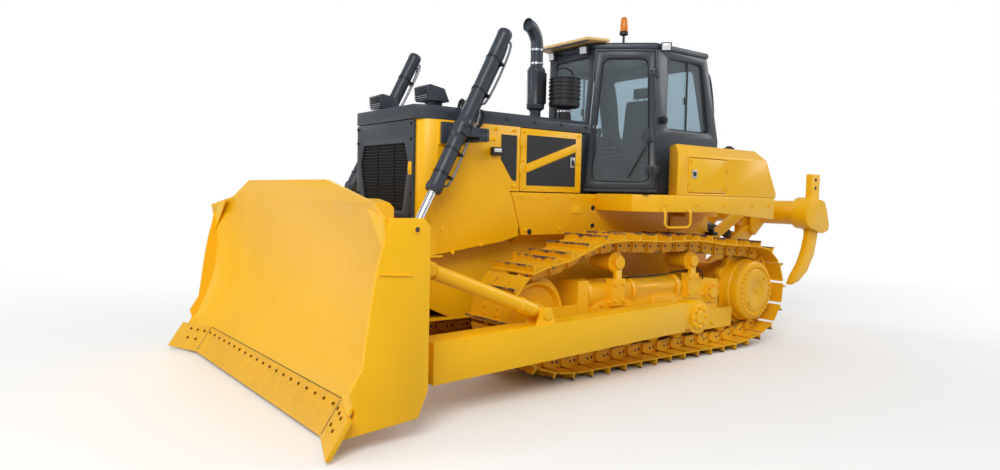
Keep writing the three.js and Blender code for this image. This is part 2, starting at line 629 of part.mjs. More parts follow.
function grillePanel() {
  const x0 = GUARD_FRONT + DOOR_PLAY;
  const x1 = x0 + GRILLE.thick;
  const half = GUARD_NOSE_HALF - 4;
  const low = GRILLE.bottom;
  const frame = prismX([[-half, low], [half, low], [half, GRILLE.top], [-half, GRILLE.top]], x0, x1, [[
    [-GRILLE.opening + 90, low + 60], [-GRILLE.opening, low + 480], [-GRILLE.opening + 60, GRILLE.top - 190],
    [GRILLE.opening - 60, GRILLE.top - 190], [GRILLE.opening, low + 480], [GRILLE.opening - 90, low + 60],
  ]]);
  const solids = [frame];
  const span = GRILLE.top - 190 - (low + 60);
  for (let i = 1; i <= GRILLE.slats; i += 1) {
    const z = low + 60 + span * i / (GRILLE.slats + 1);
    const reach = GRILLE.opening + 10;
    solids.push(box(x0 + 8, x0 + 16, -reach, reach, z - 9, z + 9));
  }
  [low + 120, GRILLE.top - 120].forEach((z) => {
    solids.push(barZ(GUARD_FRONT + SEAT_GAP + 10, -half - 2, z - 50, z + 50, 10, 12));
  });
  return join(...solids);
}
place(machine, 'radiator_grille', grillePanel(), BLACK);

// ---- hood with its lamp boxes ----
function hood() {
  const c = HOOD_CHAMFER;
  const section = (inset, top) => [
    [-BAY_HALF + inset, HOOD_BOTTOM - 20], [BAY_HALF - inset, HOOD_BOTTOM - 20],
    [BAY_HALF - inset, top - c], [BAY_HALF - inset - c, top], [-BAY_HALF + inset + c, top],
    [-BAY_HALF + inset, top - c],
  ];
  const plan = (inset) => [
    [HOOD_REAR + inset, -BAY_HALF - 1 + inset], [GUARD_CORNER, -BAY_HALF - 1 + inset],
    [GUARD_CORNER + 95, -BAY_HALF + 28 + inset], [GUARD_FRONT + 36 - inset, -GUARD_NOSE_HALF + inset],
    [GUARD_FRONT + 36 - inset, GUARD_NOSE_HALF - inset], [GUARD_CORNER + 95, BAY_HALF - 28 - inset],
    [GUARD_CORNER, BAY_HALF + 1 - inset], [HOOD_REAR + inset, BAY_HALF + 1 - inset],
  ];
  const solidOuter = prismX(section(0, HOOD_TOP), HOOD_REAR, GUARD_FRONT + 40)
    .intersect(prismZ(plan(0), HOOD_BOTTOM, HOOD_TOP + 10));
  const hollow = prismX(section(HOOD_SHEET, HOOD_TOP - HOOD_SHEET), HOOD_REAR - 10, GUARD_FRONT + 40)
    .intersect(prismZ(plan(HOOD_SHEET), HOOD_BOTTOM - 30, HOOD_TOP));
  const solids = [cut(solidOuter, hollow)];
  [-1, 1].forEach((side) => {
    const y = side * LAMP_BOX.y;
    solids.push(prismY([
      [LAMP_BOX.x0, LAMP_BOX.z0], [LAMP_BOX.x1 - 20, LAMP_BOX.z0], [LAMP_BOX.x1, LAMP_BOX.z1 - 15],
      [LAMP_BOX.x1 - 30, LAMP_BOX.z1], [LAMP_BOX.x0 + 50, LAMP_BOX.z1 - 25],
    ], y - LAMP_BOX.half, y + LAMP_BOX.half));
    solids.push(box(LAMP_BOX.x0 + 40, LAMP_BOX.x1 - 80, y - 60, y + 60, HOOD_TOP - 4, LAMP_BOX.z0 + 5));
  });
  return join(...solids);
}
place(machine, 'hood', hood(), SLATE);

// ---- engine side doors, hinged at their front edge ----
const engineDoorLow = DECK_TOP + 4;
const ENGINE_HINGE_X = DOOR_FRONT + DOOR_PLAY - SEAT_GAP - 9;
placeBoth('engine_door', join(
  box(HOOD_REAR + 120, DOOR_FRONT - DOOR_PLAY, BAY_HALF - 24, BAY_HALF, engineDoorLow, HOOD_BOTTOM - 6),
  barZ(ENGINE_HINGE_X, BAY_HALF + 2, 1800, 1880, 9, 12),
  barZ(ENGINE_HINGE_X, BAY_HALF + 2, 2060, 2140, 9, 12),
), YELLOW);

// ---- exhaust and air pre-cleaner ----
const exhaustBend = [
  [EXHAUST.x, EXHAUST.y, EXHAUST.z1 - 20],
  [EXHAUST.x, EXHAUST.y, EXHAUST.top - 40],
  [EXHAUST.x + 25, EXHAUST.y + 5, EXHAUST.top + 50],
  [EXHAUST.x + 90, EXHAUST.y + 18, EXHAUST.top + 120],
  [EXHAUST.x + 150, EXHAUST.y + 30, EXHAUST.top + 140],
];
function bentPipe(points, radius, sidesCount, steps) {
  const curve = new THREE.CatmullRomCurve3(points.map((p) => new THREE.Vector3(...p)), false, 'centripetal');
  const ring = Array.from({ length: sidesCount }, (_, i) => {
    const angle = Math.PI * 2 * i / sidesCount;
    return [radius * Math.cos(angle), radius * Math.sin(angle)];
  });
  const options = { steps, bevelEnabled: false, extrudePath: curve };
  return facingOut(new THREE.ExtrudeGeometry(outline(ring), options));
}
const exhaust = join(
  barZ(EXHAUST.x, EXHAUST.y, HOOD_TOP + SEAT_GAP, EXHAUST.z0 + 5, 55),
  barZ(EXHAUST.x, EXHAUST.y, EXHAUST.z0, EXHAUST.z1, EXHAUST.radius, 12),
  bentPipe(exhaustBend, EXHAUST.pipe, 12, 8),
);
place(machine, 'exhaust_stack', exhaust, SLATE);
place(machine, 'air_pre_cleaner', join(
  barZ(CLEANER.x, CLEANER.y, HOOD_TOP + SEAT_GAP, CLEANER.z0 + 5, 62),
  barZ(CLEANER.x, CLEANER.y, CLEANER.z0, CLEANER.z1, CLEANER.radius, 18),
), BLACK);

// ---- platform (fenders) beside and behind the cab ----
function platform() {
  const inner = BAY_HALF + SEAT_GAP;
  const plan = [
    [DECK_REAR, inner], [DECK_FRONT, inner], [DECK_FRONT, DECK_HALF - 180], [DECK_FRONT - 180, DECK_HALF],
    [DECK_REAR, DECK_HALF],
  ].reverse();
  const bottom = [
    [DECK_FRONT + 20, DECK_TOP - DECK_EDGE], [DECK_FRONT + 20, DECK_TOP + 10],
    [DECK_REAR - 20, DECK_TOP + 10],
    [DECK_REAR - 20, DECK_TOP - DECK_EDGE - 75], [-900, DECK_TOP - DECK_EDGE],
  ];
  const block = prismZ(plan, DECK_TOP - 300, DECK_TOP).intersect(prismY(bottom, 0, DECK_HALF + 50));
  const hollow = box(DECK_REAR - 30, DECK_FRONT - 10, inner - 5, DECK_HALF - 10,
    DECK_TOP - 400, DECK_TOP - DECK_PLATE)
    .intersect(prismZ(plan.map(([x, y]) => [x - (x > 0 ? 14 : 0), y > 1000 ? y - 14 : y - 30]),
      DECK_TOP - 400, DECK_TOP - DECK_PLATE));
  return cut(block, hollow);
}
placeBoth('fender', platform(), YELLOW);

// ---- side tanks, the left one with a compartment door ----
function sideTank(withDoor) {
  const low = DECK_TOP + SEAT_GAP;
  const rearTop = -1760;
  const plan = [
    [TANK_FRONT_INNER, TANK_INNER], [TANK_FRONT_OUTER, DECK_HALF], [DECK_REAR - 30, DECK_HALF],
    [DECK_REAR - 30, TANK_INNER],
  ];
  const section = [
    [TANK_INNER, low], [DECK_HALF, low], [DECK_HALF, TANK_SHOULDER], [TANK_SHOULDER_Y, TANK_TOP],
    [TANK_INNER, TANK_TOP],
  ];
  const profile = [
    [0, low - 5], [0, TANK_TOP + 5], [rearTop, TANK_TOP + 5], [DECK_REAR - 35, DECK_TOP + 40],
    [DECK_REAR - 35, low - 5],
  ];
  const solid = prismZ(plan.reverse(), low, TANK_TOP)
    .intersect(prismX(section, DECK_REAR - 60, 0))
    .intersect(prismY(profile.reverse(), TANK_INNER - 10, DECK_HALF + 10));
  if (!withDoor) return solid;
  const pocket = box(TANK_DOOR.x0 - DOOR_PLAY, TANK_DOOR.x1 + DOOR_PLAY, DECK_HALF - TANK_DOOR.thick - 6,
    DECK_HALF + 20, TANK_DOOR.z0 - DOOR_PLAY, TANK_DOOR.z1 + DOOR_PLAY);
  const cavity = box(TANK_DOOR.x0 + 40, TANK_DOOR.x1 - 40, DECK_HALF - 220, DECK_HALF,
    TANK_DOOR.z0 + 30, TANK_DOOR.z1 - 30);
  return cut(solid, pocket, cavity);
}
place(sides[0].group, 'left_tank', sideTank(true), YELLOW);
place(sides[1].group, 'right_tank', sideTank(false), YELLOW);
const TANK_HINGE_X = TANK_DOOR.x0 - DOOR_PLAY + SEAT_GAP + 8;
const tankDoor = join(
  box(TANK_DOOR.x0, TANK_DOOR.x1, DECK_HALF - TANK_DOOR.thick, DECK_HALF, TANK_DOOR.z0, TANK_DOOR.z1),
  barZ(TANK_HINGE_X, DECK_HALF - 2, TANK_DOOR.z0 + 50, TANK_DOOR.z0 + 110, 8, 12),
  barZ(TANK_HINGE_X, DECK_HALF - 2, TANK_DOOR.z1 - 110, TANK_DOOR.z1 - 50, 8, 12),
);
place(sides[0].group, 'tank_compartment_door', tankDoor, YELLOW);
const fuelTank = prismY([
  [FUEL_TANK.x0, DECK_TOP - 10], [FUEL_TANK.x1, DECK_TOP - 10], [FUEL_TANK.x1, FUEL_TANK.top],
  [FUEL_TANK.x0 + 120, FUEL_TANK.top], [FUEL_TANK.x0, FUEL_TANK.top - 140],
], -FUEL_TANK.half, FUEL_TANK.half);
place(machine, 'fuel_tank', fuelTank.intersect(box(-3000, 0, -2000, 2000, DECK_TOP + SEAT_GAP, 3000)), YELLOW);

// ---- cab: floor, posts and walls in one shell, with doors, glass and roof of their own ----
function cabRing(level, z, inset) {
  const half = CAB_PLAN.map((corner) => corner[level]);
  const [a, b, c] = half;
  const slope = inset * 1.414;
  const points = [
    [a[0] - inset, a[1] - inset * 0.41], [b[0] - inset * 0.41, b[1] - inset], [c[0] + inset, c[1] - inset],
  ];
  if (inset > 0) points[0] = [a[0] - inset, a[1] - slope + inset];
  const mirrored = points.map(([x, y]) => [x, -y]).reverse();
  return [...points, ...mirrored].map(([x, y]) => [x, y, z]);
}

const cabOuter = loft([
  cabRing('low', CAB_FLOOR, 0), cabRing('waist', CAB_WAIST, 0), cabRing('head', CAB_HEAD, 0),
]);
const cabInner = loft([
  cabRing('low', CAB_FLOOR + 40, CAB_WALL), cabRing('waist', CAB_WAIST, CAB_WALL),
  cabRing('head', CAB_HEAD + 20, CAB_WALL),
]);

// the door's plane runs from the screen post to the rear post
const [postFront, postRear] = CAB_PLAN;
const doorRun = new THREE.Vector2(postFront.low[0] - postRear.low[0], postFront.low[1] - postRear.low[1]);
const doorTurn = doorRun.angle();
const DOOR_LOW = CAB_FLOOR + CAB_SILL;
const DOOR_HIGH = CAB_HEAD - 22;
const doorLowWidth = doorRun.length();
const headShift = Math.hypot(postRear.head[0] - postRear.low[0], postRear.head[1] - postRear.low[1]);
const headWidth = Math.hypot(postFront.head[0] - postRear.head[0], postFront.head[1] - postRear.head[1]);

// door outline in its own plane: a along the sill from the rear post, b up
function doorOutline(inset) {
  const top = headShift + headWidth;
  return [
    [inset, DOOR_LOW + inset], [doorLowWidth - inset, DOOR_LOW + inset],
    [top - inset - 4, DOOR_HIGH - inset], [headShift + inset + 4, DOOR_HIGH - inset],
  ];
}

// plate in the door plane between two depths below the wall's outer face, negative when proud of it
function doorPlate(points, from, to, holes = []) {
  const geometry = extrude(outline(points, holes), to - from);
  geometry.rotateX(Math.PI / 2);
  geometry.translate(0, -from, 0);
  geometry.rotateZ(doorTurn);
  geometry.translate(postRear.low[0], postRear.low[1], 0);
  return toSolid(geometry);
}

const mirrorY = (solid) => {
  const geometry = toGeometry(solid).toNonIndexed();
  geometry.scale(1, -1, 1);
  return facingOut(geometry);
};

function roundedOutline(points, radius, steps = 3) {
  const out = [];
  points.forEach((point, i) => {
    const p = new THREE.Vector2(...point);
    const before = new THREE.Vector2(...points[(i + points.length - 1) % points.length]);
    const after = new THREE.Vector2(...points[(i + 1) % points.length]);
    const start = p.clone().add(before.sub(p).setLength(radius));
    const end = p.clone().add(after.sub(p).setLength(radius));
    const curve = new THREE.QuadraticBezierCurve(start, p, end);
    curve.getPoints(steps).forEach((q) => out.push([q.x, q.y]));
  });
  return out;
}

const frameWidth = CAB_DOOR.frame;
const doorPane = roundedOutline(doorOutline(CAB_DOOR.edge + frameWidth), 90);
const doorHole = doorOutline(CAB_DOOR.edge - 6);
const doorOpening = doorPlate(doorHole, -80, 60);
const screenHole = roundedOutline([
  [-215, 1800], [215, 1800], [275, CAB_HEAD - 70], [-275, CAB_HEAD - 70],
], 70);
const rearHole = roundedOutline([[-640, 2310], [640, 2310], [620, CAB_HEAD - 80], [-620, CAB_HEAD - 80]], 80);
const sideHole = roundedOutline([
  [-1405, 2330], [-690, 2330], [-690, CAB_HEAD - 70], [-1250, CAB_HEAD - 70],
], 70);
const cabShell = cut(cabOuter, cabInner, doorOpening, mirrorY(doorOpening),
  prismX(screenHole, -200, 200), prismX(rearHole, -1800, -1250), prismY(sideHole, -1000, 1000));
const cabFeet = [[-100, 180], [-100, -180], [-900, 450], [-900, -450]].map(([x, y]) => (
  barZ(x, y, DECK_TOP - 6 + SEAT_GAP, CAB_FLOOR + 5, 60, 12)));
place(machine, 'cab_shell', join(cabShell, ...cabFeet), SLATE);

function paneX(hole, x, tilt, atZ) {
  const geometry = extrude(outline(hole), GLASS);
  geometry.applyMatrix4(new THREE.Matrix4().makeBasis(Y_AXIS, Z_AXIS, X_AXIS));
  geometry.translate(0, 0, -atZ);
  geometry.rotateY(tilt);
  geometry.translate(x, 0, atZ);
  return toSolid(geometry);
}
const grown = (points, by) => {
  const cx = points.reduce((sum, p) => sum + p[0], 0) / points.length;
  const cz = points.reduce((sum, p) => sum + p[1], 0) / points.length;
  return points.map(([a, b]) => [a + Math.sign(a - cx) * by, b + Math.sign(b - cz) * by]);
};
const screenLean = -Math.atan2(postFront.low[0] - postFront.head[0], CAB_HEAD - CAB_FLOOR);
const screenX = (z) => postFront.low[0] + (z - CAB_FLOOR) * Math.tan(screenLean);
const screenPane = paneX(grown(screenHole, -SEAT_GAP), screenX(2400) - 24, screenLean, 2400);
place(machine, 'windscreen', screenPane, PANE);
const rearLean = Math.atan2(CAB_PLAN[2].head[0] - CAB_PLAN[2].waist[0], CAB_HEAD - CAB_WAIST);
const rearX = (z) => CAB_PLAN[2].waist[0] + (z - CAB_WAIST) * Math.tan(rearLean);
place(machine, 'rear_window', paneX(grown(rearHole, -2 * SEAT_GAP), rearX(2700) + 18, rearLean, 2700), PANE);

// door with its pane, hinged on the rear post
const postAt = (z) => {
  const share = (z - CAB_FLOOR) / (CAB_HEAD - CAB_FLOOR);
  return [0, 1].map((i) => (
    postRear.low[i] + (postRear.head[i] - postRear.low[i]) * share + CAB_HINGE.out[i]));
};
const knuckle = (z0, z1) => bar([...postAt(z0), z0], [...postAt(z1), z1], CAB_HINGE.radius, 16);
const strap = (z0, z1) => doorPlate([
  [-6 + (z0 - CAB_FLOOR) * 0.03, z0], [120, z0], [120, z1], [-6 + (z0 - CAB_FLOOR) * 0.03, z1],
], -CAB_DOOR.proud - 6, -CAB_DOOR.proud + 4);
const doorFrame = join(
  doorPlate(doorOutline(CAB_DOOR.edge), -CAB_DOOR.proud, CAB_DOOR.thick - CAB_DOOR.proud, [doorPane]),
  ...[CAB_HINGE.low, CAB_HEAD - CAB_HINGE.below].flatMap((z) => [knuckle(z, z + 100), strap(z + 5, z + 95)]),
);
placeBoth('cab_door', doorFrame, SLATE);
placeBoth('door_glass', doorPlate(grown(doorPane, -SEAT_GAP), 4, 4 + GLASS), PANE);
const sideGlassY = CAB_PLAN[2].head[1] - 26;
placeBoth('side_window', prismY(grown(sideHole, -SEAT_GAP), sideGlassY, sideGlassY + GLASS), PANE);

// roof cap with the sun visor and the beacon
function cabRoof() {
  const rim = 14;
  const plan = CAB_PLAN.map((corner) => corner.head);
  const low = [
    [plan[0][0] + rim, plan[0][1] + 8], [plan[1][0] + 8, plan[1][1] + rim],
    [plan[2][0] - rim, plan[2][1] + rim],
  ];
  const ring = (points, z) => (
    [...points, ...points.map(([x, y]) => [x, -y]).reverse()].map(([x, y]) => [x, y, z]));
  const high = low.map(([x, y]) => [x * 0.985 - 6, y * 0.965]);
  const cap = loft([
    ring(low, CAB_HEAD + SEAT_GAP), ring(low, ROOF_TOP - 20), ring(high, ROOF_TOP),
  ]);
  const visor = prismZ([
    [VISOR.x, -VISOR.half], [VISOR.x, VISOR.half], [plan[0][0] - 90, plan[0][1] + 130],
    [plan[0][0] - 90, -plan[0][1] - 130],
  ], (ROOF_TOP + VISOR.above) - 20, (ROOF_TOP + VISOR.above) - 20 + VISOR.thick);
  const beaconLow = ROOF_TOP + BEACON.stalk;
  const visorFoot = box(plan[0][0] - 80, plan[0][0] + 10, -plan[0][1] + 20, plan[0][1] - 20,
    ROOF_TOP - 30, (ROOF_TOP + VISOR.above));
  return join(cap, visor, visorFoot,
    barZ(BEACON.x, BEACON.y, ROOF_TOP - 10, beaconLow + 2, 16, 12),
    barZ(BEACON.x, BEACON.y, beaconLow, beaconLow + BEACON.height, BEACON.radius, 18));
}
place(machine, 'cab_roof', cabRoof(), SLATE);

// seat and console inside the cab
place(machine, 'operator_seat', join(
  box(-1080, -560, -260, 260, 2060, 2180),
  prismY([[-1180, 2120], [-1060, 2120], [-1160, 2780], [-1250, 2780]].reverse(), -240, 240),
  box(-1060, -700, -180, 180, CAB_FLOOR + 40 + SEAT_GAP, 2070),
), BLACK);
place(machine, 'control_console', join(
  box(-330, -150, -150, 150, CAB_FLOOR + 40 + SEAT_GAP, 2250),
  prismY([[-330, 2200], [-130, 2200], [-90, 2330], [-200, 2420]].reverse(), -150, 150),
), BLACK);

// ---- blade ----
const entry = degrees(180 - BLADE_ENTRY);
const chord = Math.hypot(BLADE_TOP.x - BLADE_SEAM.x, BLADE_TOP.z - BLADE_SEAM.z);
const chordAngle = Math.atan2(BLADE_TOP.z - BLADE_SEAM.z, BLADE_TOP.x - BLADE_SEAM.x);
const bladeRadius = chord / (2 * Math.sin(entry - chordAngle));
const bladeCentre = [
  BLADE_SEAM.x + bladeRadius * Math.sin(entry), BLADE_SEAM.z - bladeRadius * Math.cos(entry),
];
function moldboardArc(offset, steps) {
  const low = Math.atan2(BLADE_SEAM.z - bladeCentre[1], BLADE_SEAM.x - bladeCentre[0]);
  const high = Math.atan2(BLADE_TOP.z - bladeCentre[1], BLADE_TOP.x - bladeCentre[0]);
  const from = low < 0 ? low + 2 * Math.PI : low;
  const to = high < 0 ? high + 2 * Math.PI : high;
  return Array.from({ length: steps + 1 }, (_, i) => {
    const angle = from + (to - from) * i / steps;
    const radius = bladeRadius + offset;
    return [bladeCentre[0] + radius * Math.cos(angle), bladeCentre[1] + radius * Math.sin(angle)];
  });
}

// shears a straight length of blade section so that its outer end runs forward as the wing does
function wing(points, from, to) {
  const geometry = extrude(outline(points), to - from);
  geometry.rotateX(Math.PI / 2);
  geometry.translate(0, to, 0);
  const position = geometry.attributes.position;
  for (let i = 0; i < position.count; i += 1) {
    const run = position.getY(i) - BLADE_FLAT_HALF;
    position.setX(i, position.getX(i) + run * Math.tan(degrees(BLADE_WING_ANGLE)));
  }
  return toSolid(geometry);
}

function moldboard() {
  const skin = [...moldboardArc(0, 9), ...moldboardArc(BLADE_SKIN, 9).reverse()];
  const lowBox = [
    [BLADE_BACK + 20, 215], [BLADE_SEAM.x - 47, 215], [BLADE_SEAM.x - 35, 246],
    ...moldboardArc(BLADE_SKIN - 4, 9).slice(1, 4), [BLADE_BACK + 20, 700],
  ];
  const highBox = [...moldboardArc(BLADE_SKIN - 4, 9).slice(6, 9), [2960, 1560], [2900, 1500], [2900, 1180]];
  const solids = [
    prismY(skin, -BLADE_FLAT_HALF, BLADE_FLAT_HALF),
    prismY(lowBox, -BLADE_FLAT_HALF, BLADE_FLAT_HALF),
    prismY(highBox, -BLADE_FLAT_HALF, BLADE_FLAT_HALF),
  ];
  const wingSkin = wing(skin, BLADE_FLAT_HALF - 1, BLADE_HALF - 4);
  solids.push(wingSkin, mirrorY(wingSkin));
  const rib = [
    [BLADE_BACK + 30, 690], ...moldboardArc(BLADE_SKIN - 4, 9).slice(3, 8), [2905, 1200],
    [BLADE_BACK + 40, 1150],
  ];
  [-1300, -LIFT_Y, 0, LIFT_Y, 1300].forEach((y) => solids.push(prismY(rib, y - 14, y + 14)));
  const front = [
    [-BLADE_HALF, 100], [BLADE_HALF, 100], [BLADE_HALF, BLADE_SHOULDER], [BLADE_CREST_HALF, BLADE_TOP.z],
    [-BLADE_CREST_HALF, BLADE_TOP.z], [-BLADE_HALF, BLADE_SHOULDER],
  ];
  return join(...solids).intersect(prismX(front, 2500, 3700));
}

function sidePlate() {
  const run = BLADE_WING * Math.tan(degrees(BLADE_WING_ANGLE));
  const front = [
    [3304, 105], [3221, 232], [3221, 268], [3254, 382], [3169, 517], [3109, 943], [3074, 1127], [3035, 1279],
    [3003, BLADE_SHOULDER],
  ].map(([x, z]) => [x + run, z]);
  return prismY([
    [BLADE_BACK - 19, 323], [BLADE_BACK + 53, 150], [3093, 135], ...front,
    [BLADE_BACK + 32, BLADE_SHOULDER], [BLADE_BACK - 19, BLADE_SHOULDER - 52],
  ], BLADE_HALF - SIDE_PLATE, BLADE_HALF);
}

function bladeLugs() {
  const solids = [];
  [-1, 1].forEach((side) => {
    // clevis for the push arm, brace bracket and fork for the lift rod
    [-1, 1].forEach((cheek) => {
      const lugY = side * ARM_Y + cheek * 70;
      solids.push(prismY([
        [BLADE_PIN.x - 62, BLADE_PIN.z - 40], [BLADE_PIN.x, BLADE_PIN.z - 75], [BLADE_BACK + 60, 300],
        [BLADE_BACK + 60, 560], [BLADE_PIN.x, BLADE_PIN.z + 75], [BLADE_PIN.x - 62, BLADE_PIN.z + 40],
      ], lugY - 14, lugY + 14));
      const braceY = side * ARM_Y + cheek * 62;
      const lead = Math.max(0, Math.abs(braceY) - BLADE_FLAT_HALF) * Math.tan(degrees(BLADE_WING_ANGLE));
      const rear = moldboardArc(BLADE_SKIN - 4, 9).slice(4, 7).map(([x, z]) => [x + lead, z]);
      solids.push(prismY([
        [BRACE_BLADE.x - 55, BRACE_BLADE.z - 40], [BRACE_BLADE.x, BRACE_BLADE.z - 62], [2925, 880],
        ...rear, [2925, 1190], [BRACE_BLADE.x, BRACE_BLADE.z + 62],
        [BRACE_BLADE.x - 55, BRACE_BLADE.z + 40],
      ], braceY - 12, braceY + 12));
      const forkY = side * LIFT_Y + cheek * (LIFT_ROD.width / 2 + 22);
      solids.push(prismY([
        [LIFT_EYE.x - 70, LIFT_EYE.z - 40], [LIFT_EYE.x - 20, LIFT_EYE.z - 80], [BLADE_BACK + 40, 560],
        [BLADE_BACK + 40, 700], [BLADE_BACK + 80, 820], [LIFT_EYE.x, LIFT_EYE.z + 85],
        [LIFT_EYE.x - 70, LIFT_EYE.z + 40],
      ], forkY - 14, forkY + 14));
    });
    solids.push(barY(BLADE_PIN.x, BLADE_PIN.z, side * ARM_Y - 84, side * ARM_Y + 84, BLADE_PIN.radius));
    solids.push(barY(BRACE_BLADE.x, BRACE_BLADE.z, side * ARM_Y - 74, side * ARM_Y + 74, BRACE_PIN));
  });
  return solids;
}
const blade = join(moldboard(), sidePlate(), mirrorY(sidePlate()), ...bladeLugs());

function edgeSection(grow) {
  const run = Math.hypot(BLADE_SEAM.x - EDGE_TIP.x, BLADE_SEAM.z - EDGE_TIP.z);
  const along = [(BLADE_SEAM.x - EDGE_TIP.x) / run, (BLADE_SEAM.z - EDGE_TIP.z) / run];
  const at = (s, depth) => [
    EDGE_TIP.x + along[0] * s - along[1] * depth, EDGE_TIP.z + along[1] * s + along[0] * depth,
  ];
  return [
    at(-grow, -grow), at(run - 1 + grow, -grow), at(run - 1 + grow, EDGE_THICK + grow),
    at(12 - grow, EDGE_THICK + grow), at(-grow, 10 + grow),
  ].reverse();
}
function edge(grow) {
  const tip = wing(edgeSection(grow), BLADE_FLAT_HALF - 1, BIT_HALF + grow);
  return join(prismY(edgeSection(grow), -BLADE_FLAT_HALF, BLADE_FLAT_HALF), tip, mirrorY(tip));
}
place(machine, 'cutting_edge', edge(0), YELLOW);
place(machine, 'blade', cut(blade, edge(SEAT_GAP)), YELLOW);

// ---- push arms, brace and tilt cylinder ----
function pushArm() {
  const rear = [TRUNNION.x + 240, TRUNNION.z + 20];
  const outer = [
    [rear[0], rear[1] - ARM_REAR_HALF], [ARM_TIP.x, ARM_TIP.z - ARM_FRONT_HALF],
    [ARM_TIP.x, ARM_TIP.z + ARM_FRONT_HALF], [rear[0], rear[1] + ARM_REAR_HALF],
  ];
  const body = prismY(outer, ARM_Y - ARM_HALF, ARM_Y + ARM_HALF);
  const head = join(
    barY(TRUNNION.x, TRUNNION.z, ARM_Y - 82, ARM_Y + 82, 158, 18),
    box(TRUNNION.x, rear[0] + 5, ARM_Y - 82, ARM_Y + 82, rear[1] - 118, rear[1] + 118),
  );
  const socket = barY(TRUNNION.x, TRUNNION.z, ARM_Y - 61, ARM_Y + 61,
    boreRadius(TRUNNION.ball, TRUNNION.sides), TRUNNION.sides);
  const throat = barY(TRUNNION.x, TRUNNION.z, ARM_Y - 90, ARM_Y, TRUNNION.shaft + 12, 12);
  const tongue = join(
    box(ARM_TIP.x - 20, BLADE_PIN.x, ARM_Y - 50, ARM_Y + 50, BLADE_PIN.z - 72, BLADE_PIN.z + 72),
    barY(BLADE_PIN.x, BLADE_PIN.z, ARM_Y - 50, ARM_Y + 50, 72),
  );
  const lugs = [-1, 1].map((cheek) => prismY([
    [BRACE_ARM.x - 120, 520], [BRACE_ARM.x + 150, 520], [BRACE_ARM.x + 45, BRACE_ARM.z + 40],
    [BRACE_ARM.x, BRACE_ARM.z + 58], [BRACE_ARM.x - 45, BRACE_ARM.z + 40],
  ], ARM_Y + cheek * 62 - 12, ARM_Y + cheek * 62 + 12));
  const pin = barY(BRACE_ARM.x, BRACE_ARM.z, ARM_Y - 74, ARM_Y + 74, BRACE_PIN);
  return cut(join(body, head, tongue, ...lugs, pin), socket, throat,
    barY(BLADE_PIN.x, BLADE_PIN.z, ARM_Y - 60, ARM_Y + 60, closeBore(BLADE_PIN.radius)));
}
placeBoth('push_arm', pushArm(), YELLOW);

const braceStart = [BRACE_ARM.x, ARM_Y, BRACE_ARM.z];
const braceEnd = [BRACE_BLADE.x, ARM_Y, BRACE_BLADE.z];
const along = (from, to, distance) => {
  const start = new THREE.Vector3(...from);
  return start.add(new THREE.Vector3(...to).sub(start).setLength(distance)).toArray();
};
const braceLength = Math.hypot(BRACE_BLADE.x - BRACE_ARM.x, BRACE_BLADE.z - BRACE_ARM.z);
function strut(radius, from, to) {
  const ends = [BRACE_ARM, BRACE_BLADE].map(({ x, z }) => barY(x, z, ARM_Y - 46, ARM_Y + 46, 54));
  const holes = [BRACE_ARM, BRACE_BLADE].map(({ x, z }) => (
    barY(x, z, ARM_Y - 60, ARM_Y + 60, closeBore(BRACE_PIN))));
  const necks = bar(along(braceStart, braceEnd, 40), along(braceEnd, braceStart, 40), 36);
  const tube = bar(along(braceStart, braceEnd, from), along(braceStart, braceEnd, to), radius, 12);
  return cut(join(...ends, necks, tube), ...holes);
}
place(sides[0].group, 'left_blade_brace', strut(BRACE_RADIUS, 90, braceLength - 80), YELLOW);
place(sides[1].group, 'right_tilt_cylinder', strut(82, 90, braceLength - 330), SLATE);

// ---- blade lift cylinders ----
function liftAxis(distance) {
  const run = Math.hypot(LIFT_EYE.x - LIFT_TRUNNION.x, LIFT_EYE.z - LIFT_TRUNNION.z);
  const t = distance / run;
  return [
    LIFT_TRUNNION.x + (LIFT_EYE.x - LIFT_TRUNNION.x) * t, LIFT_Y,
    LIFT_TRUNNION.z + (LIFT_EYE.z - LIFT_TRUNNION.z) * t,
  ];
}
const liftReach = Math.hypot(LIFT_EYE.x - LIFT_TRUNNION.x, LIFT_EYE.z - LIFT_TRUNNION.z);
const liftBarrel = cut(
  join(
    bar(liftAxis(-LIFT_BARREL.up), liftAxis(LIFT_BARREL.down), LIFT_BARREL.radius, 12),
    bar(liftAxis(LIFT_BARREL.down - 60), liftAxis(LIFT_BARREL.down), LIFT_BARREL.radius + 8, 12),
    bar(liftAxis(-55), liftAxis(55), LIFT_BARREL.radius + 14, 12),
    barY(LIFT_TRUNNION.x, LIFT_TRUNNION.z, LIFT_Y - 108, LIFT_Y + 108, YOKE.pin, PIN_SIDES),
  ),
  bar(liftAxis(-LIFT_BARREL.up + 24), liftAxis(LIFT_BARREL.down - 50), LIFT_BARREL.bore, 12),
  bar(liftAxis(0), liftAxis(LIFT_BARREL.down + 20), closeBore(LIFT_ROD.radius), 12),
);
placeBoth('lift_cylinder', liftBarrel, SLATE);
const pistonAt = liftReach - LIFT_ROD.length;
const liftRod = cut(
  join(
    bar(liftAxis(pistonAt), liftAxis(liftReach - 30), LIFT_ROD.radius, 12),
    bar(liftAxis(pistonAt), liftAxis(pistonAt + 60), LIFT_BARREL.bore - 2, 12),
    barY(LIFT_EYE.x, LIFT_EYE.z, LIFT_Y - LIFT_ROD.width / 2, LIFT_Y + LIFT_ROD.width / 2, LIFT_ROD.eye),
  ),
  barY(LIFT_EYE.x, LIFT_EYE.z, LIFT_Y - 60, LIFT_Y + 60, 32),
);
placeBoth('lift_rod', liftRod, CHROME);

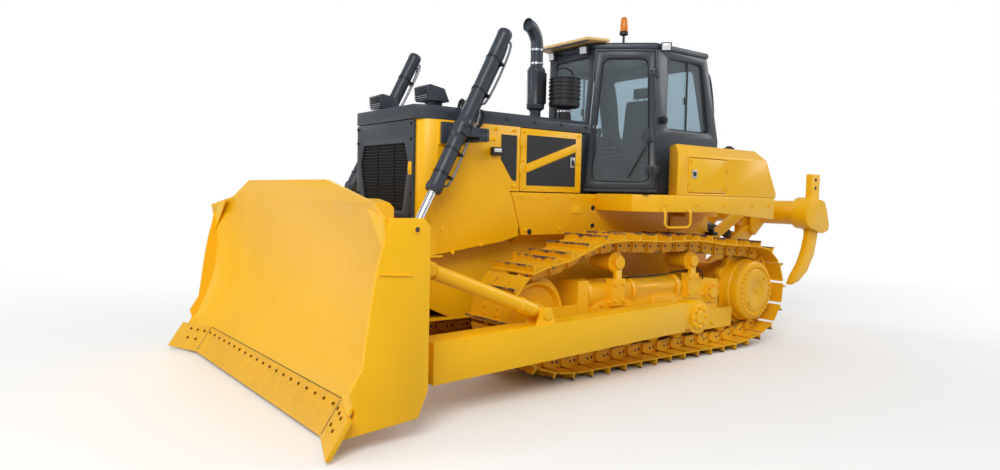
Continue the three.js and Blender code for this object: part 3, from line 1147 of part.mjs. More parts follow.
function yoke() {
  const { x, z } = LIFT_TRUNNION;
  const inner = BAY_HALF + 14 + SEAT_GAP;
  const bearing = (y0, y1) => barY(x, z, y0, y1, YOKE.arm + 12, 18);
  const solids = [
    box(x - 120, x + 120, inner, inner + 24, z - 110, z + 70),
    bearing(inner + 10, LIFT_Y - LIFT_BARREL.radius - 22),
    bearing(LIFT_Y + LIFT_BARREL.radius + 22, LIFT_Y + LIFT_BARREL.radius + 50),
    box(x - 52, x + 52, inner + 10, LIFT_Y - LIFT_BARREL.radius - 22, z - 100, z),
    box(x - 215, x - 120, inner + 10, LIFT_Y + LIFT_BARREL.radius + 50, z - 90, z + 20),
    box(x - 150, x + 10, LIFT_Y + LIFT_BARREL.radius + 22, LIFT_Y + LIFT_BARREL.radius + 50, z - 56, z + 20),
  ];
  return cut(join(...solids),
    barY(x, z, LIFT_Y - LIFT_BARREL.radius - 60, LIFT_Y + 300, boreRadius(YOKE.pin), PIN_SIDES));
}
placeBoth('cylinder_yoke', yoke(), SLATE);

// ---- ripper ----
const ripperLength = Math.hypot(RIPPER_REACH.x, RIPPER_REACH.z);
const ripperDir = [RIPPER_REACH.x / ripperLength, RIPPER_REACH.z / ripperLength];
const lowEnd = { x: RIPPER_LOW.x + RIPPER_REACH.x, z: RIPPER_LOW.z + RIPPER_REACH.z };
const highEnd = { x: RIPPER_HIGH.x + RIPPER_REACH.x, z: RIPPER_HIGH.z + RIPPER_REACH.z };
const alongLink = (from, s, down) => [
  from.x + ripperDir[0] * s - ripperDir[1] * down, from.z + ripperDir[1] * s + ripperDir[0] * down,
];

function linkPlate(from, to, y, half, eye, depth) {
  const length = Math.hypot(to.x - from.x, to.z - from.z);
  const body = prismY([
    alongLink(from, 0, -eye), alongLink(from, 0, eye), alongLink(from, length * 0.3, depth),
    alongLink(from, length * 0.75, depth), alongLink(from, length, eye), alongLink(from, length, -eye),
  ].reverse(), y - half, y + half);
  const ends = [from, to].map(({ x, z }) => barY(x, z, y - half, y + half, eye));
  const holes = [from, to].map(({ x, z }) => (
    barY(x, z, y - half - 5, y + half + 5, boreRadius(RIPPER_PIN), PIN_SIDES)));
  return { body: join(body, ...ends), holes };
}

function ripperArm() {
  const crossAt = alongLink(RIPPER_LOW, 728, 80);
  const solids = [barY(crossAt[0], crossAt[1], -RIPPER_LINK_Y, RIPPER_LINK_Y, 58)];
  const holes = [];
  [-1, 1].forEach((side) => {
    const link = linkPlate(RIPPER_LOW, lowEnd, side * RIPPER_LINK_Y, 30, 72, 112);
    solids.push(link.body);
    holes.push(...link.holes);
    [-1, 1].forEach((cheek) => {
      const y = side * RIP_CYL_Y + cheek * 45;
      const ear = prismY([
        [RIP_CYL_EYE.x - 42, RIP_CYL_EYE.z + 30], [RIP_CYL_EYE.x - 50, RIP_CYL_EYE.z - 30],
        [crossAt[0] - 30, crossAt[1] - 20], [crossAt[0] + 40, crossAt[1] + 30],
        [RIP_CYL_EYE.x + 40, RIP_CYL_EYE.z + 42],
      ].reverse(), y - 10, y + 10);
      solids.push(ear);
    });
  });
  return cut(join(...solids), ...holes);
}
place(machine, 'ripper_arm', ripperArm(), YELLOW);

placeBoth('ripper_link', (() => {
  const link = linkPlate(RIPPER_HIGH, highEnd, RIPPER_LINK_Y, 28, 60, 60);
  return cut(link.body, ...link.holes);
})(), YELLOW);

const SHANK_PROFILE = [
  [-3400, 1950], [-3405, 1180], [-3345, 950], [-3200, 740], [-3010, 622], [-2855, 593], [-2915, 700],
  [-3050, 850], [-3140, 1010], [-3195, 1180], [-3200, 1950],
];
const SHANK_SLOT = [[-3410, 1000], [-3185, 1000], [-3185, 2100], [-3410, 2100]];
function ripperBeam() {
  const solids = [barY(BEAM.x, BEAM.z, -BEAM.half + 20, BEAM.half - 20, BEAM.radius, 18)];
  const slots = [];
  SHANKS.forEach((y) => {
    solids.push(barY(BEAM.x, BEAM.z, y - BEAM.pocketHalf, y + BEAM.pocketHalf, BEAM.pocket, 18));
    solids.push(prismY([
      [BEAM.x, BEAM.z + 190], [BEAM.x - 270, BEAM.z + 150], [BEAM.x - 330, BEAM.z + 40], [-3575, 1320],
      [-3560, 1250], [BEAM.x - 260, 1215], [BEAM.x, BEAM.z - 190],
    ], y - BEAM.pocketHalf + 15, y + BEAM.pocketHalf - 15));
    slots.push(prismY(SHANK_SLOT, y - SHANK_HALF - SEAT_GAP, y + SHANK_HALF + SEAT_GAP));
  });
  [-1, 1].forEach((side) => {
    [-1, 1].forEach((cheek) => {
      const y = side * RIPPER_LINK_Y + cheek * 52;
      solids.push(prismY([
        [BEAM.x - 60, BEAM.z - 100], [lowEnd.x - 30, lowEnd.z - 70], [lowEnd.x + 62, lowEnd.z - 20],
        [lowEnd.x + 62, lowEnd.z + 40], [highEnd.x + 55, highEnd.z - 40], [highEnd.x + 55, highEnd.z + 30],
        [highEnd.x, highEnd.z + 60], [BEAM.x - 40, BEAM.z + 140],
      ], y - 14, y + 14));
    });
    [lowEnd, highEnd].forEach(({ x, z }) => {
      const y = side * RIPPER_LINK_Y;
      solids.push(barY(x, z, y - 60, y + 60, RIPPER_PIN, PIN_SIDES));
    });
  });
  return cut(join(...solids), ...slots);
}
place(machine, 'ripper_beam', ripperBeam(), YELLOW);
['left', 'middle', 'right'].forEach((name, i) => {
  place(machine, `${name}_ripper_shank`,
    prismY(SHANK_PROFILE, SHANKS[i] - SHANK_HALF, SHANKS[i] + SHANK_HALF), YELLOW);
});

const ripSpan = Math.hypot(RIP_CYL_EYE.x - RIP_CYL_BASE.x, RIP_CYL_EYE.z - RIP_CYL_BASE.z);
const ripAxis = (distance) => [
  RIP_CYL_BASE.x + (RIP_CYL_EYE.x - RIP_CYL_BASE.x) * distance / ripSpan, RIP_CYL_Y,
  RIP_CYL_BASE.z + (RIP_CYL_EYE.z - RIP_CYL_BASE.z) * distance / ripSpan,
];
placeBoth('ripper_cylinder', cut(
  join(
    barY(RIP_CYL_BASE.x, RIP_CYL_BASE.z, RIP_CYL_Y - 30, RIP_CYL_Y + 30, 62),
    bar(ripAxis(40), ripAxis(RIP_CYL.start + 10), 30),
    bar(ripAxis(RIP_CYL.start), ripAxis(RIP_CYL.end), RIP_CYL.radius, 12),
  ),
  barY(RIP_CYL_BASE.x, RIP_CYL_BASE.z, RIP_CYL_Y - 40, RIP_CYL_Y + 40, boreRadius(RIPPER_PIN), PIN_SIDES),
  bar(ripAxis(RIP_CYL.start + 24), ripAxis(RIP_CYL.end - 25), RIP_CYL.bore, 12),
  bar(ripAxis(RIP_CYL.start + 60), ripAxis(RIP_CYL.end + 20), closeBore(RIP_CYL.rod), 12),
), SLATE);
placeBoth('ripper_rod', cut(
  join(
    bar(ripAxis(ripSpan - RIP_CYL.rodLength), ripAxis(ripSpan - 20), RIP_CYL.rod, 12),
    bar(ripAxis(ripSpan - RIP_CYL.rodLength), ripAxis(ripSpan - RIP_CYL.rodLength + 40),
      RIP_CYL.bore - 2, 12),
    barY(RIP_CYL_EYE.x, RIP_CYL_EYE.z, RIP_CYL_Y - 25, RIP_CYL_Y + 25, RIP_CYL.eye),
  ),
  barY(RIP_CYL_EYE.x, RIP_CYL_EYE.z, RIP_CYL_Y - 40, RIP_CYL_Y + 40, 22),
), CHROME);

export default machine;
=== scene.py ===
import json
from math import cos, exp, pi, radians, sin, sqrt, tan

import bmesh
import bpy
from mathutils import Euler, Matrix, Vector


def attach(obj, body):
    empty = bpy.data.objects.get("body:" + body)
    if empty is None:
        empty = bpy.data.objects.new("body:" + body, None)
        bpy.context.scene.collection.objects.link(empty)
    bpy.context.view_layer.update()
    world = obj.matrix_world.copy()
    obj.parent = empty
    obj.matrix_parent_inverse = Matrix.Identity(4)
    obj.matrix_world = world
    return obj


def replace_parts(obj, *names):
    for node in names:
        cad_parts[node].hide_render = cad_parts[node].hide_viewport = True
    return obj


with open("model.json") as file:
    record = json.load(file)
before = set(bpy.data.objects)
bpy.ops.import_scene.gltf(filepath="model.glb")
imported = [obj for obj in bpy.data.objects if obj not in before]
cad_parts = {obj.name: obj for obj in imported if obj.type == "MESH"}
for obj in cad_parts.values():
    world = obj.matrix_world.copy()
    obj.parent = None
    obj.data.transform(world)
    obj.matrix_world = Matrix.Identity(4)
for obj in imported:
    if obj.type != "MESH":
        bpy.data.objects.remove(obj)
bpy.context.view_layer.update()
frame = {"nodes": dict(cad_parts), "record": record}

# ---- Studio ----
# A pale floor, a broad sky and four large soft lamps. The key lamp stands high on the
# machine's front left, so that the blade and the near side are both evenly lit.
scene = bpy.context.scene
scene.view_settings.view_transform = "Standard"


def linear(hex_colour):
    """sRGB hex to the linear colour that a shader socket takes."""
    parts = [int(hex_colour[i:i + 2], 16) / 255 for i in (1, 3, 5)]
    return [*[c / 12.92 if c <= 0.04045 else ((c + 0.055) / 1.055) ** 2.4 for c in parts], 1.0]


def add_node(tree, kind, inputs=None, **settings):
    """Adds one node. An input is a value, a socket, or a node for its first output."""
    made = tree.nodes.new(kind)
    for key, value in settings.items():
        setattr(made, key, value)
    for key, value in (inputs or {}).items():
        socket = made.inputs[key]
        if isinstance(value, bpy.types.Node):
            value = value.outputs[0]
        if isinstance(value, bpy.types.NodeSocket):
            tree.links.new(value, socket)
        else:
            socket.default_value = value
    return made


def place_camera():
    yaw, pitch, roll = -2.2262, -0.0552, 0.0222
    forward = Vector((cos(pitch) * cos(yaw), cos(pitch) * sin(yaw), sin(pitch)))
    level = forward.cross(Vector((0, 0, 1))).normalized()
    upright = level.cross(forward)
    right = cos(roll) * level + sin(roll) * upright
    up = -sin(roll) * level + cos(roll) * upright
    lens = bpy.data.cameras.new("camera")
    lens.sensor_width = 36
    lens.lens = 25.73
    lens.clip_end = 200
    camera = bpy.data.objects.new("camera", lens)
    turn = Matrix((right, up, -forward)).transposed().to_4x4()
    camera.matrix_world = Matrix.Translation((5.2773, 5.7459, 1.6004)) @ turn
    scene.collection.objects.link(camera)
    scene.camera = camera


place_camera()

SKY_STRENGTH = 0.56
# the floor turns to plain white between these distances from the machine
WHITE_FROM = 5.5
WHITE_TO = 11.0

world = bpy.data.worlds.new("studio")
scene.world = world
world.use_nodes = True
sky = world.node_tree
sky.nodes.clear()
sky_light = add_node(sky, "ShaderNodeBackground", {"Color": linear("#eef2f6"), "Strength": SKY_STRENGTH})
sky_white = add_node(sky, "ShaderNodeBackground", {"Color": linear("#ffffff"), "Strength": 1.0})
sky_ray = add_node(sky, "ShaderNodeLightPath")
sky_seen = add_node(sky, "ShaderNodeMath",
    {0: sky_ray.outputs["Is Camera Ray"], 1: sky_ray.outputs["Is Transmission Ray"]}, operation="MAXIMUM")
sky_mix = add_node(sky, "ShaderNodeMixShader", {0: sky_seen, 1: sky_light, 2: sky_white})
add_node(sky, "ShaderNodeOutputWorld", {"Surface": sky_mix})


def lay_floor():
    """A wide floor that keeps the machine's shadow near it and fades to the white behind."""
    mesh = bpy.data.meshes.new("floor")
    mesh.from_pydata([(-60, -60, -0.002), (60, -60, -0.002), (60, 60, -0.002), (-60, 60, -0.002)], [], [(0, 1, 2, 3)])
    paint = bpy.data.materials.new("pale studio floor")
    paint.use_nodes = True
    tree = paint.node_tree
    tree.nodes.clear()
    place = add_node(tree, "ShaderNodeTexCoord").outputs["Object"]
    away = add_node(tree, "ShaderNodeVectorMath", {0: place}, operation="LENGTH")
    far = add_node(tree, "ShaderNodeMapRange",
        {"Value": away.outputs["Value"], "From Min": WHITE_FROM, "From Max": WHITE_TO},
        interpolation_type="SMOOTHSTEP")
    ray = add_node(tree, "ShaderNodeLightPath")
    seen = add_node(tree, "ShaderNodeMath", {0: ray.outputs["Is Camera Ray"], 1: ray.outputs["Is Transmission Ray"]},
        operation="MAXIMUM")
    shown = add_node(tree, "ShaderNodeMath", {0: seen, 1: ray.outputs["Is Glossy Ray"]}, operation="MAXIMUM")
    white_share = add_node(tree, "ShaderNodeMath", {0: far, 1: shown}, operation="MULTIPLY")
    tone = add_node(tree, "ShaderNodeMix", {0: shown, 6: linear("#b4b4b4"), 7: linear("#fbfbfb")},
        data_type="RGBA").outputs[2]
    matt = add_node(tree, "ShaderNodeBsdfDiffuse", {"Color": tone})
    white = add_node(tree, "ShaderNodeEmission", {"Color": linear("#ffffff"), "Strength": 1.0})
    mix = add_node(tree, "ShaderNodeMixShader", {0: white_share, 1: matt, 2: white})
    add_node(tree, "ShaderNodeOutputMaterial", {"Surface": mix})
    mesh.materials.append(paint)
    floor = bpy.data.objects.new("floor", mesh)
    scene.collection.objects.link(floor)


lay_floor()


def soft_lamp(name, place, aim, size, watts, tint):
    lamp = bpy.data.lights.new(name, "AREA")
    lamp.shape = "DISK"
    lamp.size = size
    lamp.energy = watts
    lamp.color = linear(tint)[:3]
    holder = bpy.data.objects.new(name, lamp)
    direction = Vector(aim) - Vector(place)
    holder.matrix_world = Matrix.Translation(place) @ direction.to_track_quat("-Z", "Y").to_matrix().to_4x4()
    scene.collection.objects.link(holder)


soft_lamp("key", (9, 9, 9), (0, 0, 1), 7, 930, "#fffdf8")
soft_lamp("front_fill", (13, -3, 4), (1, 0, 1), 7, 340, "#f6faff")
soft_lamp("rear_fill", (-10, 5, 7), (-1, 0, 1), 6, 380, "#ffffff")
soft_lamp("far_side_fill", (0, -12, 6), (0, 0, 1), 6, 400, "#ffffff")


def new_material(name):
    """An empty material with a cleared node tree."""
    material = bpy.data.materials.new(name)
    material.use_nodes = True
    material.node_tree.nodes.clear()
    return material, material.node_tree


def painted(name, colour, dust_colour, dust, roughness, coat, peel=0.06, worn_colour=None):
    """Sprayed enamel. With a worn colour, the mesh's wear attribute says where the steel shows."""
    material, tree = new_material(name)
    place = add_node(tree, "ShaderNodeTexCoord").outputs["Object"]
    cloudy = add_node(tree, "ShaderNodeTexNoise", {"Vector": place, "Scale": 1.1, "Detail": 4.0})
    grime = add_node(tree, "ShaderNodeTexNoise", {"Vector": place, "Scale": 9.0, "Detail": 8.0, "Roughness": 0.65})
    drift = add_node(tree, "ShaderNodeMapRange", {"Value": cloudy, "From Min": 0.3, "From Max": 0.7, "To Min": 0.94,
        "To Max": 1.04})
    shade = add_node(tree, "ShaderNodeHueSaturation", {"Color": linear(colour), "Value": drift})
    normal = add_node(tree, "ShaderNodeNewGeometry")
    facing = add_node(tree, "ShaderNodeSeparateXYZ", {0: normal.outputs["Normal"]})
    upward = add_node(tree, "ShaderNodeMapRange", {"Value": facing.outputs["Z"], "From Min": 0.25, "From Max": 1.0,
        "To Min": 0.15, "To Max": 1.0})
    patchy = add_node(tree, "ShaderNodeMapRange", {"Value": grime, "From Min": 0.42, "From Max": 0.72, "To Min": 0.0,
        "To Max": dust})
    amount = add_node(tree, "ShaderNodeMath", {0: upward, 1: patchy}, operation="MULTIPLY")
    dusty = add_node(tree, "ShaderNodeMix", {0: amount, 6: shade, 7: linear(dust_colour)}, data_type="RGBA").outputs[2]
    rubbed = add_node(tree, "ShaderNodeMapRange",
        {"Value": normal.outputs["Pointiness"], "From Min": 0.53, "From Max": 0.62, "To Min": 0.0, "To Max": 0.3})
    paler = [min(1.0, c * 1.2 + 0.02) for c in linear(colour)[:3]] + [1.0]
    top = add_node(tree, "ShaderNodeMix", {0: rubbed, 6: dusty, 7: paler}, data_type="RGBA").outputs[2]
    gloss = add_node(tree, "ShaderNodeMapRange",
        {"Value": grime, "From Min": 0.35, "From Max": 0.75, "To Min": roughness - 0.05, "To Max": roughness + 0.12})
    if worn_colour:
        wear = add_node(tree, "ShaderNodeAttribute", attribute_name="wear")
        ragged = add_node(tree, "ShaderNodeMath", {0: grime, 1: -0.45}, operation="ADD")
        reach = add_node(tree, "ShaderNodeMath", {0: wear.outputs["Fac"], 1: ragged}, operation="ADD")
        bare = add_node(tree, "ShaderNodeMapRange", {"Value": reach, "From Min": 0.42, "From Max": 0.62})
        top = add_node(tree, "ShaderNodeMix", {0: bare, 6: top, 7: linear(worn_colour)}, data_type="RGBA").outputs[2]
    fine = add_node(tree, "ShaderNodeTexNoise", {"Vector": place, "Scale": 260.0, "Detail": 1.0})
    skin = add_node(tree, "ShaderNodeBump", {"Height": fine, "Strength": peel, "Distance": 0.002})
    surface = add_node(tree, "ShaderNodeBsdfPrincipled",
        {"Base Color": top, "Roughness": gloss, "Normal": skin, "Coat Weight": coat, "Coat Roughness": 0.12,
        "IOR": 1.5, "Specular IOR Level": 0.32})
    add_node(tree, "ShaderNodeOutputMaterial", {"Surface": surface})
    return material


yellow_enamel = painted("chrome yellow enamel", "#ffbf00", "#c8a04c", 0.2, 0.36, 0.06)
frame_enamel = painted("chrome yellow enamel with road dust", "#fab900", "#a98a55", 0.5, 0.42, 0.1,
    0.12)


def finished(name, mesh, material, body="chassis", smooth=35.0):
    """Links a mesh whose place is already in its vertices, and rides it on a body."""
    mesh.materials.clear()
    mesh.materials.append(material)
    made = bpy.data.objects.new(name, mesh)
    scene.collection.objects.link(made)
    mesh.shade_smooth()
    mesh.set_sharp_from_angle(angle=radians(smooth))
    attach(made, body)
    return made


def settled(source):
    """The evaluated mesh of an object, as plain data; the object itself is removed."""
    bpy.context.view_layer.update()
    evaluated = source.evaluated_get(bpy.context.evaluated_depsgraph_get())
    mesh = bpy.data.meshes.new_from_object(evaluated)
    bpy.data.objects.remove(source)
    return mesh


def held(mesh):
    """An unfinished object that holds a mesh while modifiers work on it."""
    holder = bpy.data.objects.new("in_work", mesh)
    scene.collection.objects.link(holder)
    return holder


def rounded(mesh, radius, segments=2, angle=42.0):
    """Rounds every edge sharper than the angle."""
    holder = held(mesh)
    bevel = holder.modifiers.new("edge radius", "BEVEL")
    bevel.width = radius
    bevel.segments = segments
    bevel.limit_method = "ANGLE"
    bevel.angle_limit = radians(angle)
    bevel.miter_outer = "MITER_ARC"
    return settled(holder)


def node_body(node):
    return next(body for body, names in frame["record"]["behaviour"]["bodies"].items() if node in names)


def to_mesh(shape, name):
    mesh = bpy.data.meshes.new(name)
    shape.to_mesh(mesh)
    shape.free()
    return mesh


MERGE_DISTANCE = 1e-05
FLAT_WITHIN = radians(0.6)


def merged_copy(node):
    """A copy of a solid's mesh with its doubles merged and its flat faces made whole."""
    shape = bmesh.new()
    shape.from_mesh(frame["nodes"][node].data)
    bmesh.ops.remove_doubles(shape, verts=shape.verts, dist=MERGE_DISTANCE)
    bmesh.ops.dissolve_limit(shape, angle_limit=FLAT_WITHIN, verts=shape.verts, edges=shape.edges)
    return shape


def plate_shell(node, material, radius=0.004, segments=2):
    """The piece that stands for one solid: the same plates with ground edges."""
    shape = merged_copy(node)
    mesh = rounded(to_mesh(shape, node + "_plates"), radius, segments)
    made = finished(node + "_plates", mesh, material, node_body(node))
    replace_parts(made, node)
    return made


plate_shell("main_frame", frame_enamel, 0.005)

HEX_ROUND = sqrt(3) / 2
WASHER_GAUGE = 0.004


def node_tree(name, inputs, result):
    """An empty Geometry Nodes tree with its named inputs and one geometry output."""
    tree = bpy.data.node_groups.new(name, "GeometryNodeTree")
    for label, kind in inputs.items():
        tree.interface.new_socket(label, in_out="INPUT", socket_type="NodeSocket" + kind)
    tree.interface.new_socket(result, in_out="OUTPUT", socket_type="NodeSocketGeometry")
    return (tree, add_node(tree, "NodeGroupInput"))


def set_out(tree, given, result, instance, turn, size=(1, 1, 1)):
    """Ends a tree: one instance on each point of its first input, made real, in the given finish."""
    spread = add_node(tree, "GeometryNodeInstanceOnPoints",
        {"Points": given, "Instance": instance, "Rotation": turn, "Scale": size})
    real = add_node(tree, "GeometryNodeRealizeInstances", {"Geometry": spread})
    done = add_node(tree, "GeometryNodeSetMaterial", {"Geometry": real, "Material": given.outputs["Finish"]})
    add_node(tree, "NodeGroupOutput", {result: done})
    return tree


def bolt_tree():
    """Geometry Nodes: a washer and a hexagon head on every point, turned by the point's turn."""
    tree, given = node_tree("bolt heads", {"Spots": "Geometry", "Across Flats": "Float", "Head Height": "Float",
        "Washer Radius": "Float", "Finish": "Material"}, "Bolts")
    round_over = add_node(tree, "ShaderNodeMath", {0: given.outputs["Across Flats"], 1: 0.5 / HEX_ROUND},
        operation="MULTIPLY")
    head = add_node(tree, "GeometryNodeMeshCylinder",
        {"Vertices": 6, "Radius": round_over, "Depth": given.outputs["Head Height"]})
    washer = add_node(tree, "GeometryNodeMeshCylinder",
        {"Vertices": 12, "Radius": given.outputs["Washer Radius"], "Depth": WASHER_GAUGE})
    lift = add_node(tree, "ShaderNodeMath", {0: given.outputs["Head Height"], 1: 0.5, 2: WASHER_GAUGE},
        operation="MULTIPLY_ADD")
    up = add_node(tree, "ShaderNodeCombineXYZ", {"Z": lift})
    raised = add_node(tree, "GeometryNodeTransform", {"Geometry": head, "Translation": up})
    seated = add_node(tree, "GeometryNodeTransform", {"Geometry": washer, "Translation": (0, 0, WASHER_GAUGE / 2)})
    one = add_node(tree, "GeometryNodeJoinGeometry")
    for part in (raised, seated):
        tree.links.new(part.outputs[0], one.inputs[0])
    turn = add_node(tree, "GeometryNodeInputNamedAttribute", {"Name": "turn"}, data_type="FLOAT_VECTOR")
    return set_out(tree, given, "Bolts", one.outputs[0], turn.outputs[0])


bolt_nodes = bolt_tree()


def spot_mesh(spots):
    """A mesh of loose points. Each has a turn, given whole or as the direction that Z takes."""
    mesh = bpy.data.meshes.new("spots")
    mesh.from_pydata([place for place, _ in spots], [], [])
    turn = mesh.attributes.new("turn", "FLOAT_VECTOR", "POINT")
    for index, (_, out) in enumerate(spots):
        angles = out if isinstance(out, Euler) else Vector(out).to_track_quat("Z", "Y").to_euler()
        turn.data[index].vector = tuple(angles)
    return mesh


def through_nodes(mesh, tree, values):
    """Runs a mesh through a node tree, with the tree's inputs given by name."""
    holder = held(mesh)
    modifier = holder.modifiers.new("nodes", "NODES")
    modifier.node_group = tree
    for item in tree.interface.items_tree:
        if item.in_out == "INPUT" and item.name in values:
            modifier[item.identifier] = values[item.name]
    return settled(holder)


def bolts(name, spots, material, sizes, body="chassis"):
    """One piece with all the hexagon bolts of a panel: sizes are across flats, height and washer radius."""
    across, height, washer = sizes
    mesh = through_nodes(spot_mesh(spots), bolt_nodes,
        {"Across Flats": across, "Head Height": height, "Washer Radius": washer, "Finish": material})
    return finished(name, mesh, material, body, 30)


# ---- Paint of the hood, cab and cylinders, rubber, plastic and bare metal ----
# Satin slate-grey enamel over sheet steel. Seals are moulded rubber, lamp cases and caps are
# moulded ABS, fasteners are zinc plated and the rods are ground and hard chromed.
slate_enamel = painted("slate grey enamel", "#363e47", "#6f7072", 0.16, 0.4, 0.15)
black_enamel = painted("black enamel", "#17181a", "#4a4844", 0.2, 0.45, 0.1)


def moulded(name, slot, colour, roughness, grain, depth, **extra):
    """Moulded or cast stuff: a fine grain in the surface and a slight drift in the colour."""
    material, tree = new_material(name)
    place = add_node(tree, "ShaderNodeTexCoord").outputs["Object"]
    noise = add_node(tree, "ShaderNodeTexNoise", {"Vector": place, "Scale": grain, "Detail": 3.0})
    large = add_node(tree, "ShaderNodeTexNoise", {"Vector": place, "Scale": 4.0, "Detail": 3.0})
    drift = add_node(tree, "ShaderNodeMapRange", {"Value": large, "To Min": 0.8, "To Max": 1.2})
    shade = add_node(tree, "ShaderNodeHueSaturation", {"Color": linear(colour), "Value": drift})
    rough = add_node(tree, "ShaderNodeMapRange",
        {"Value": noise, "To Min": roughness - 0.08, "To Max": roughness + 0.08})
    bump = add_node(tree, "ShaderNodeBump", {"Height": noise, "Strength": depth, "Distance": 0.001})
    add_node(tree, "ShaderNodeOutputMaterial",
        {"Surface": add_node(tree, "ShaderNodeBsdfPrincipled",
        {"Base Color": shade, "Roughness": rough, "Normal": bump, "IOR": 1.5,
        **{key.replace("_", " "): value for key, value in extra.items()}})})
    return material


black_rubber = moulded("moulded rubber", "black_plastic", "#141416", 0.62, 420, 0.3)
black_plastic = moulded("moulded ABS", "black_plastic", "#1b1c1f", 0.48, 600, 0.2)


def metal(name, colour, roughness, streak):
    """Bare metal: fine streaks of roughness from how it was ground, rolled or worn."""
    material, tree = new_material(name)
    place = add_node(tree, "ShaderNodeTexCoord").outputs["Object"]
    stretched = add_node(tree, "ShaderNodeMapping", {"Vector": place, "Scale": (streak, 1.0, streak)})
    lines = add_node(tree, "ShaderNodeTexNoise", {"Vector": stretched, "Scale": 14.0, "Detail": 5.0})
    rough = add_node(tree, "ShaderNodeMapRange",
        {"Value": lines, "To Min": roughness * 0.6, "To Max": roughness * 1.5})
    drift = add_node(tree, "ShaderNodeMapRange", {"Value": lines, "To Min": 0.85, "To Max": 1.1})
    shade = add_node(tree, "ShaderNodeHueSaturation", {"Color": linear(colour), "Value": drift})
    add_node(tree, "ShaderNodeOutputMaterial",
        {"Surface": add_node(tree, "ShaderNodeBsdfPrincipled",
        {"Base Color": shade, "Roughness": rough, "Metallic": 1.0})})
    return material


hard_chrome = metal("ground hard chrome", "#e4e6e8", 0.12, 1.0)
zinc_steel = metal("zinc plated steel", "#b9bdc0", 0.32, 6.0)
# this dark steel is the lift eye bushes' own colour, and also painted shade in holes and in the gaps of the cutting
# edge
dark_steel_and_painted_shade = metal("scraped dark steel and painted shade", "#5f5452", 0.5, 3.0)


def skin(shape, *rings):
    """Walls between rings of vertices, and a lid on the first and the last."""
    for first, second in zip(rings, rings[1:]):
        for i in range(len(first)):
            j = (i + 1) % len(first)
            shape.faces.new((first[i], first[j], second[j], second[i]))
    shape.faces.new(rings[0])
    shape.faces.new(rings[-1])
    bmesh.ops.recalc_face_normals(shape, faces=shape.faces)


def prism(points, axis, low, high):
    """A closed plate: an outline in the plane across an axis, between two places along it."""
    order = {"x": lambda a, b, c: (c, a, b), "y": lambda a, b, c: (a, c, b), "z": lambda a, b, c: (a, b, c)}[axis]
    shape = bmesh.new()
    skin(shape, *[[shape.verts.new(order(a, b, level)) for a, b in points] for level in sorted((low, high))])
    return to_mesh(shape, "prism")


def slab(corner, other):
    """A plain block between two corners, ready for its edges to be rounded."""
    low, high = [[pick(pair) for pair in zip(corner, other)] for pick in (min, max)]
    return prism([(low[0], low[1]), (high[0], low[1]), (high[0], high[1]), (low[0], high[1])], "z", low[2], high[2])


def block(corner, other, radius, segments=2):
    return rounded(slab(corner, other), radius, segments)


def joined(meshes):
    shape = bmesh.new()
    for mesh in meshes:
        shape.from_mesh(mesh)
    return to_mesh(shape, "joined")


def turned(start, end, profile, sides=32):
    """A lathe shape along a line: profile lists (distance from the start, radius). A closed one is a ring."""
    start, end = Vector(start), Vector(end)
    axis = (end - start).normalized()
    across = axis.orthogonal().normalized()
    third = axis.cross(across)
    shape = bmesh.new()
    rings = []
    is_ring = tuple(profile[0]) == tuple(profile[-1])
    for distance, radius in profile[:-1] if is_ring else profile:
        middle = start + axis * distance
        if radius <= 1e-06:
            rings.append([shape.verts.new(middle)])
            continue
        rings.append([shape.verts.new(middle + (across * cos(a) + third * sin(a)) * radius)
            for a in (2 * pi * i / sides for i in range(sides))])
    if is_ring:
        rings.append(rings[0])
    for first, second in zip(rings, rings[1:]):
        for i in range(sides):
            j = (i + 1) % sides
            corners = [first[i % len(first)], first[j % len(first)], second[j % len(second)], second[i % len(second)]]
            shape.faces.new(list(dict.fromkeys(corners)))
    for ring in () if is_ring else (rings[0], rings[-1]):
        if len(ring) > 1:
            shape.faces.new(ring)
    bmesh.ops.recalc_face_normals(shape, faces=shape.faces)
    return to_mesh(shape, "turned")


def post(start, end, radius, edge=0.003, sides=24):
    """A round bar or disc with chamfered ends."""
    length = (Vector(end) - Vector(start)).length
    return turned(start, end, [(0, radius - edge), (edge, radius), (length - edge, radius), (length, radius - edge)],
        sides)


def pin(x, z, start, end, radius, edge=0.003, sides=24):
    """A post that runs across the machine."""
    return post((x, start, z), (x, end, z), radius, edge, sides)


def upright(x, y, low, high, radius, edge=0.003, sides=24):
    """A post that stands up."""
    return post((x, y, low), (x, y, high), radius, edge, sides)


def stood(x, y, z, profile, sides=32):
    """A lathe shape that stands up from a point."""
    return turned((x, y, z), (x, y, z + 1), profile, sides)


def around(count, radius, first=0.0):
    """Places evenly round a circle, as pairs along and up."""
    turns = [first + 2 * pi * i / count for i in range(count)]
    return [(radius * cos(a), radius * sin(a)) for a in turns]


def side_spots(pairs, y, sign):
    """Bolt spots on a side face, from pairs along and up."""
    return [((x, y, z), (0, sign, 0)) for x, z in pairs]


def pipe(points, radius, sides=12, bend=0.0):
    """A bar or hose of one thickness through the points, on a smooth curve."""
    curve = bpy.data.curves.new("pipe", "CURVE")
    curve.dimensions = "3D"
    curve.bevel_depth = radius
    curve.bevel_resolution = max(1, sides // 4 - 1)
    curve.use_fill_caps = True
    curve.resolution_u = 6
    spline = curve.splines.new("BEZIER" if bend else "POLY")
    if bend:
        spline.bezier_points.add(len(points) - 1)
        for knot, place in zip(spline.bezier_points, points):
            knot.co = place
            knot.handle_left_type = knot.handle_right_type = "AUTO"
    else:
        spline.points.add(len(points) - 1)
        for knot, place in zip(spline.points, points):
            knot.co = (*place, 1.0)
    holder = bpy.data.objects.new("pipe", curve)
    scene.collection.objects.link(holder)
    return settled(holder)


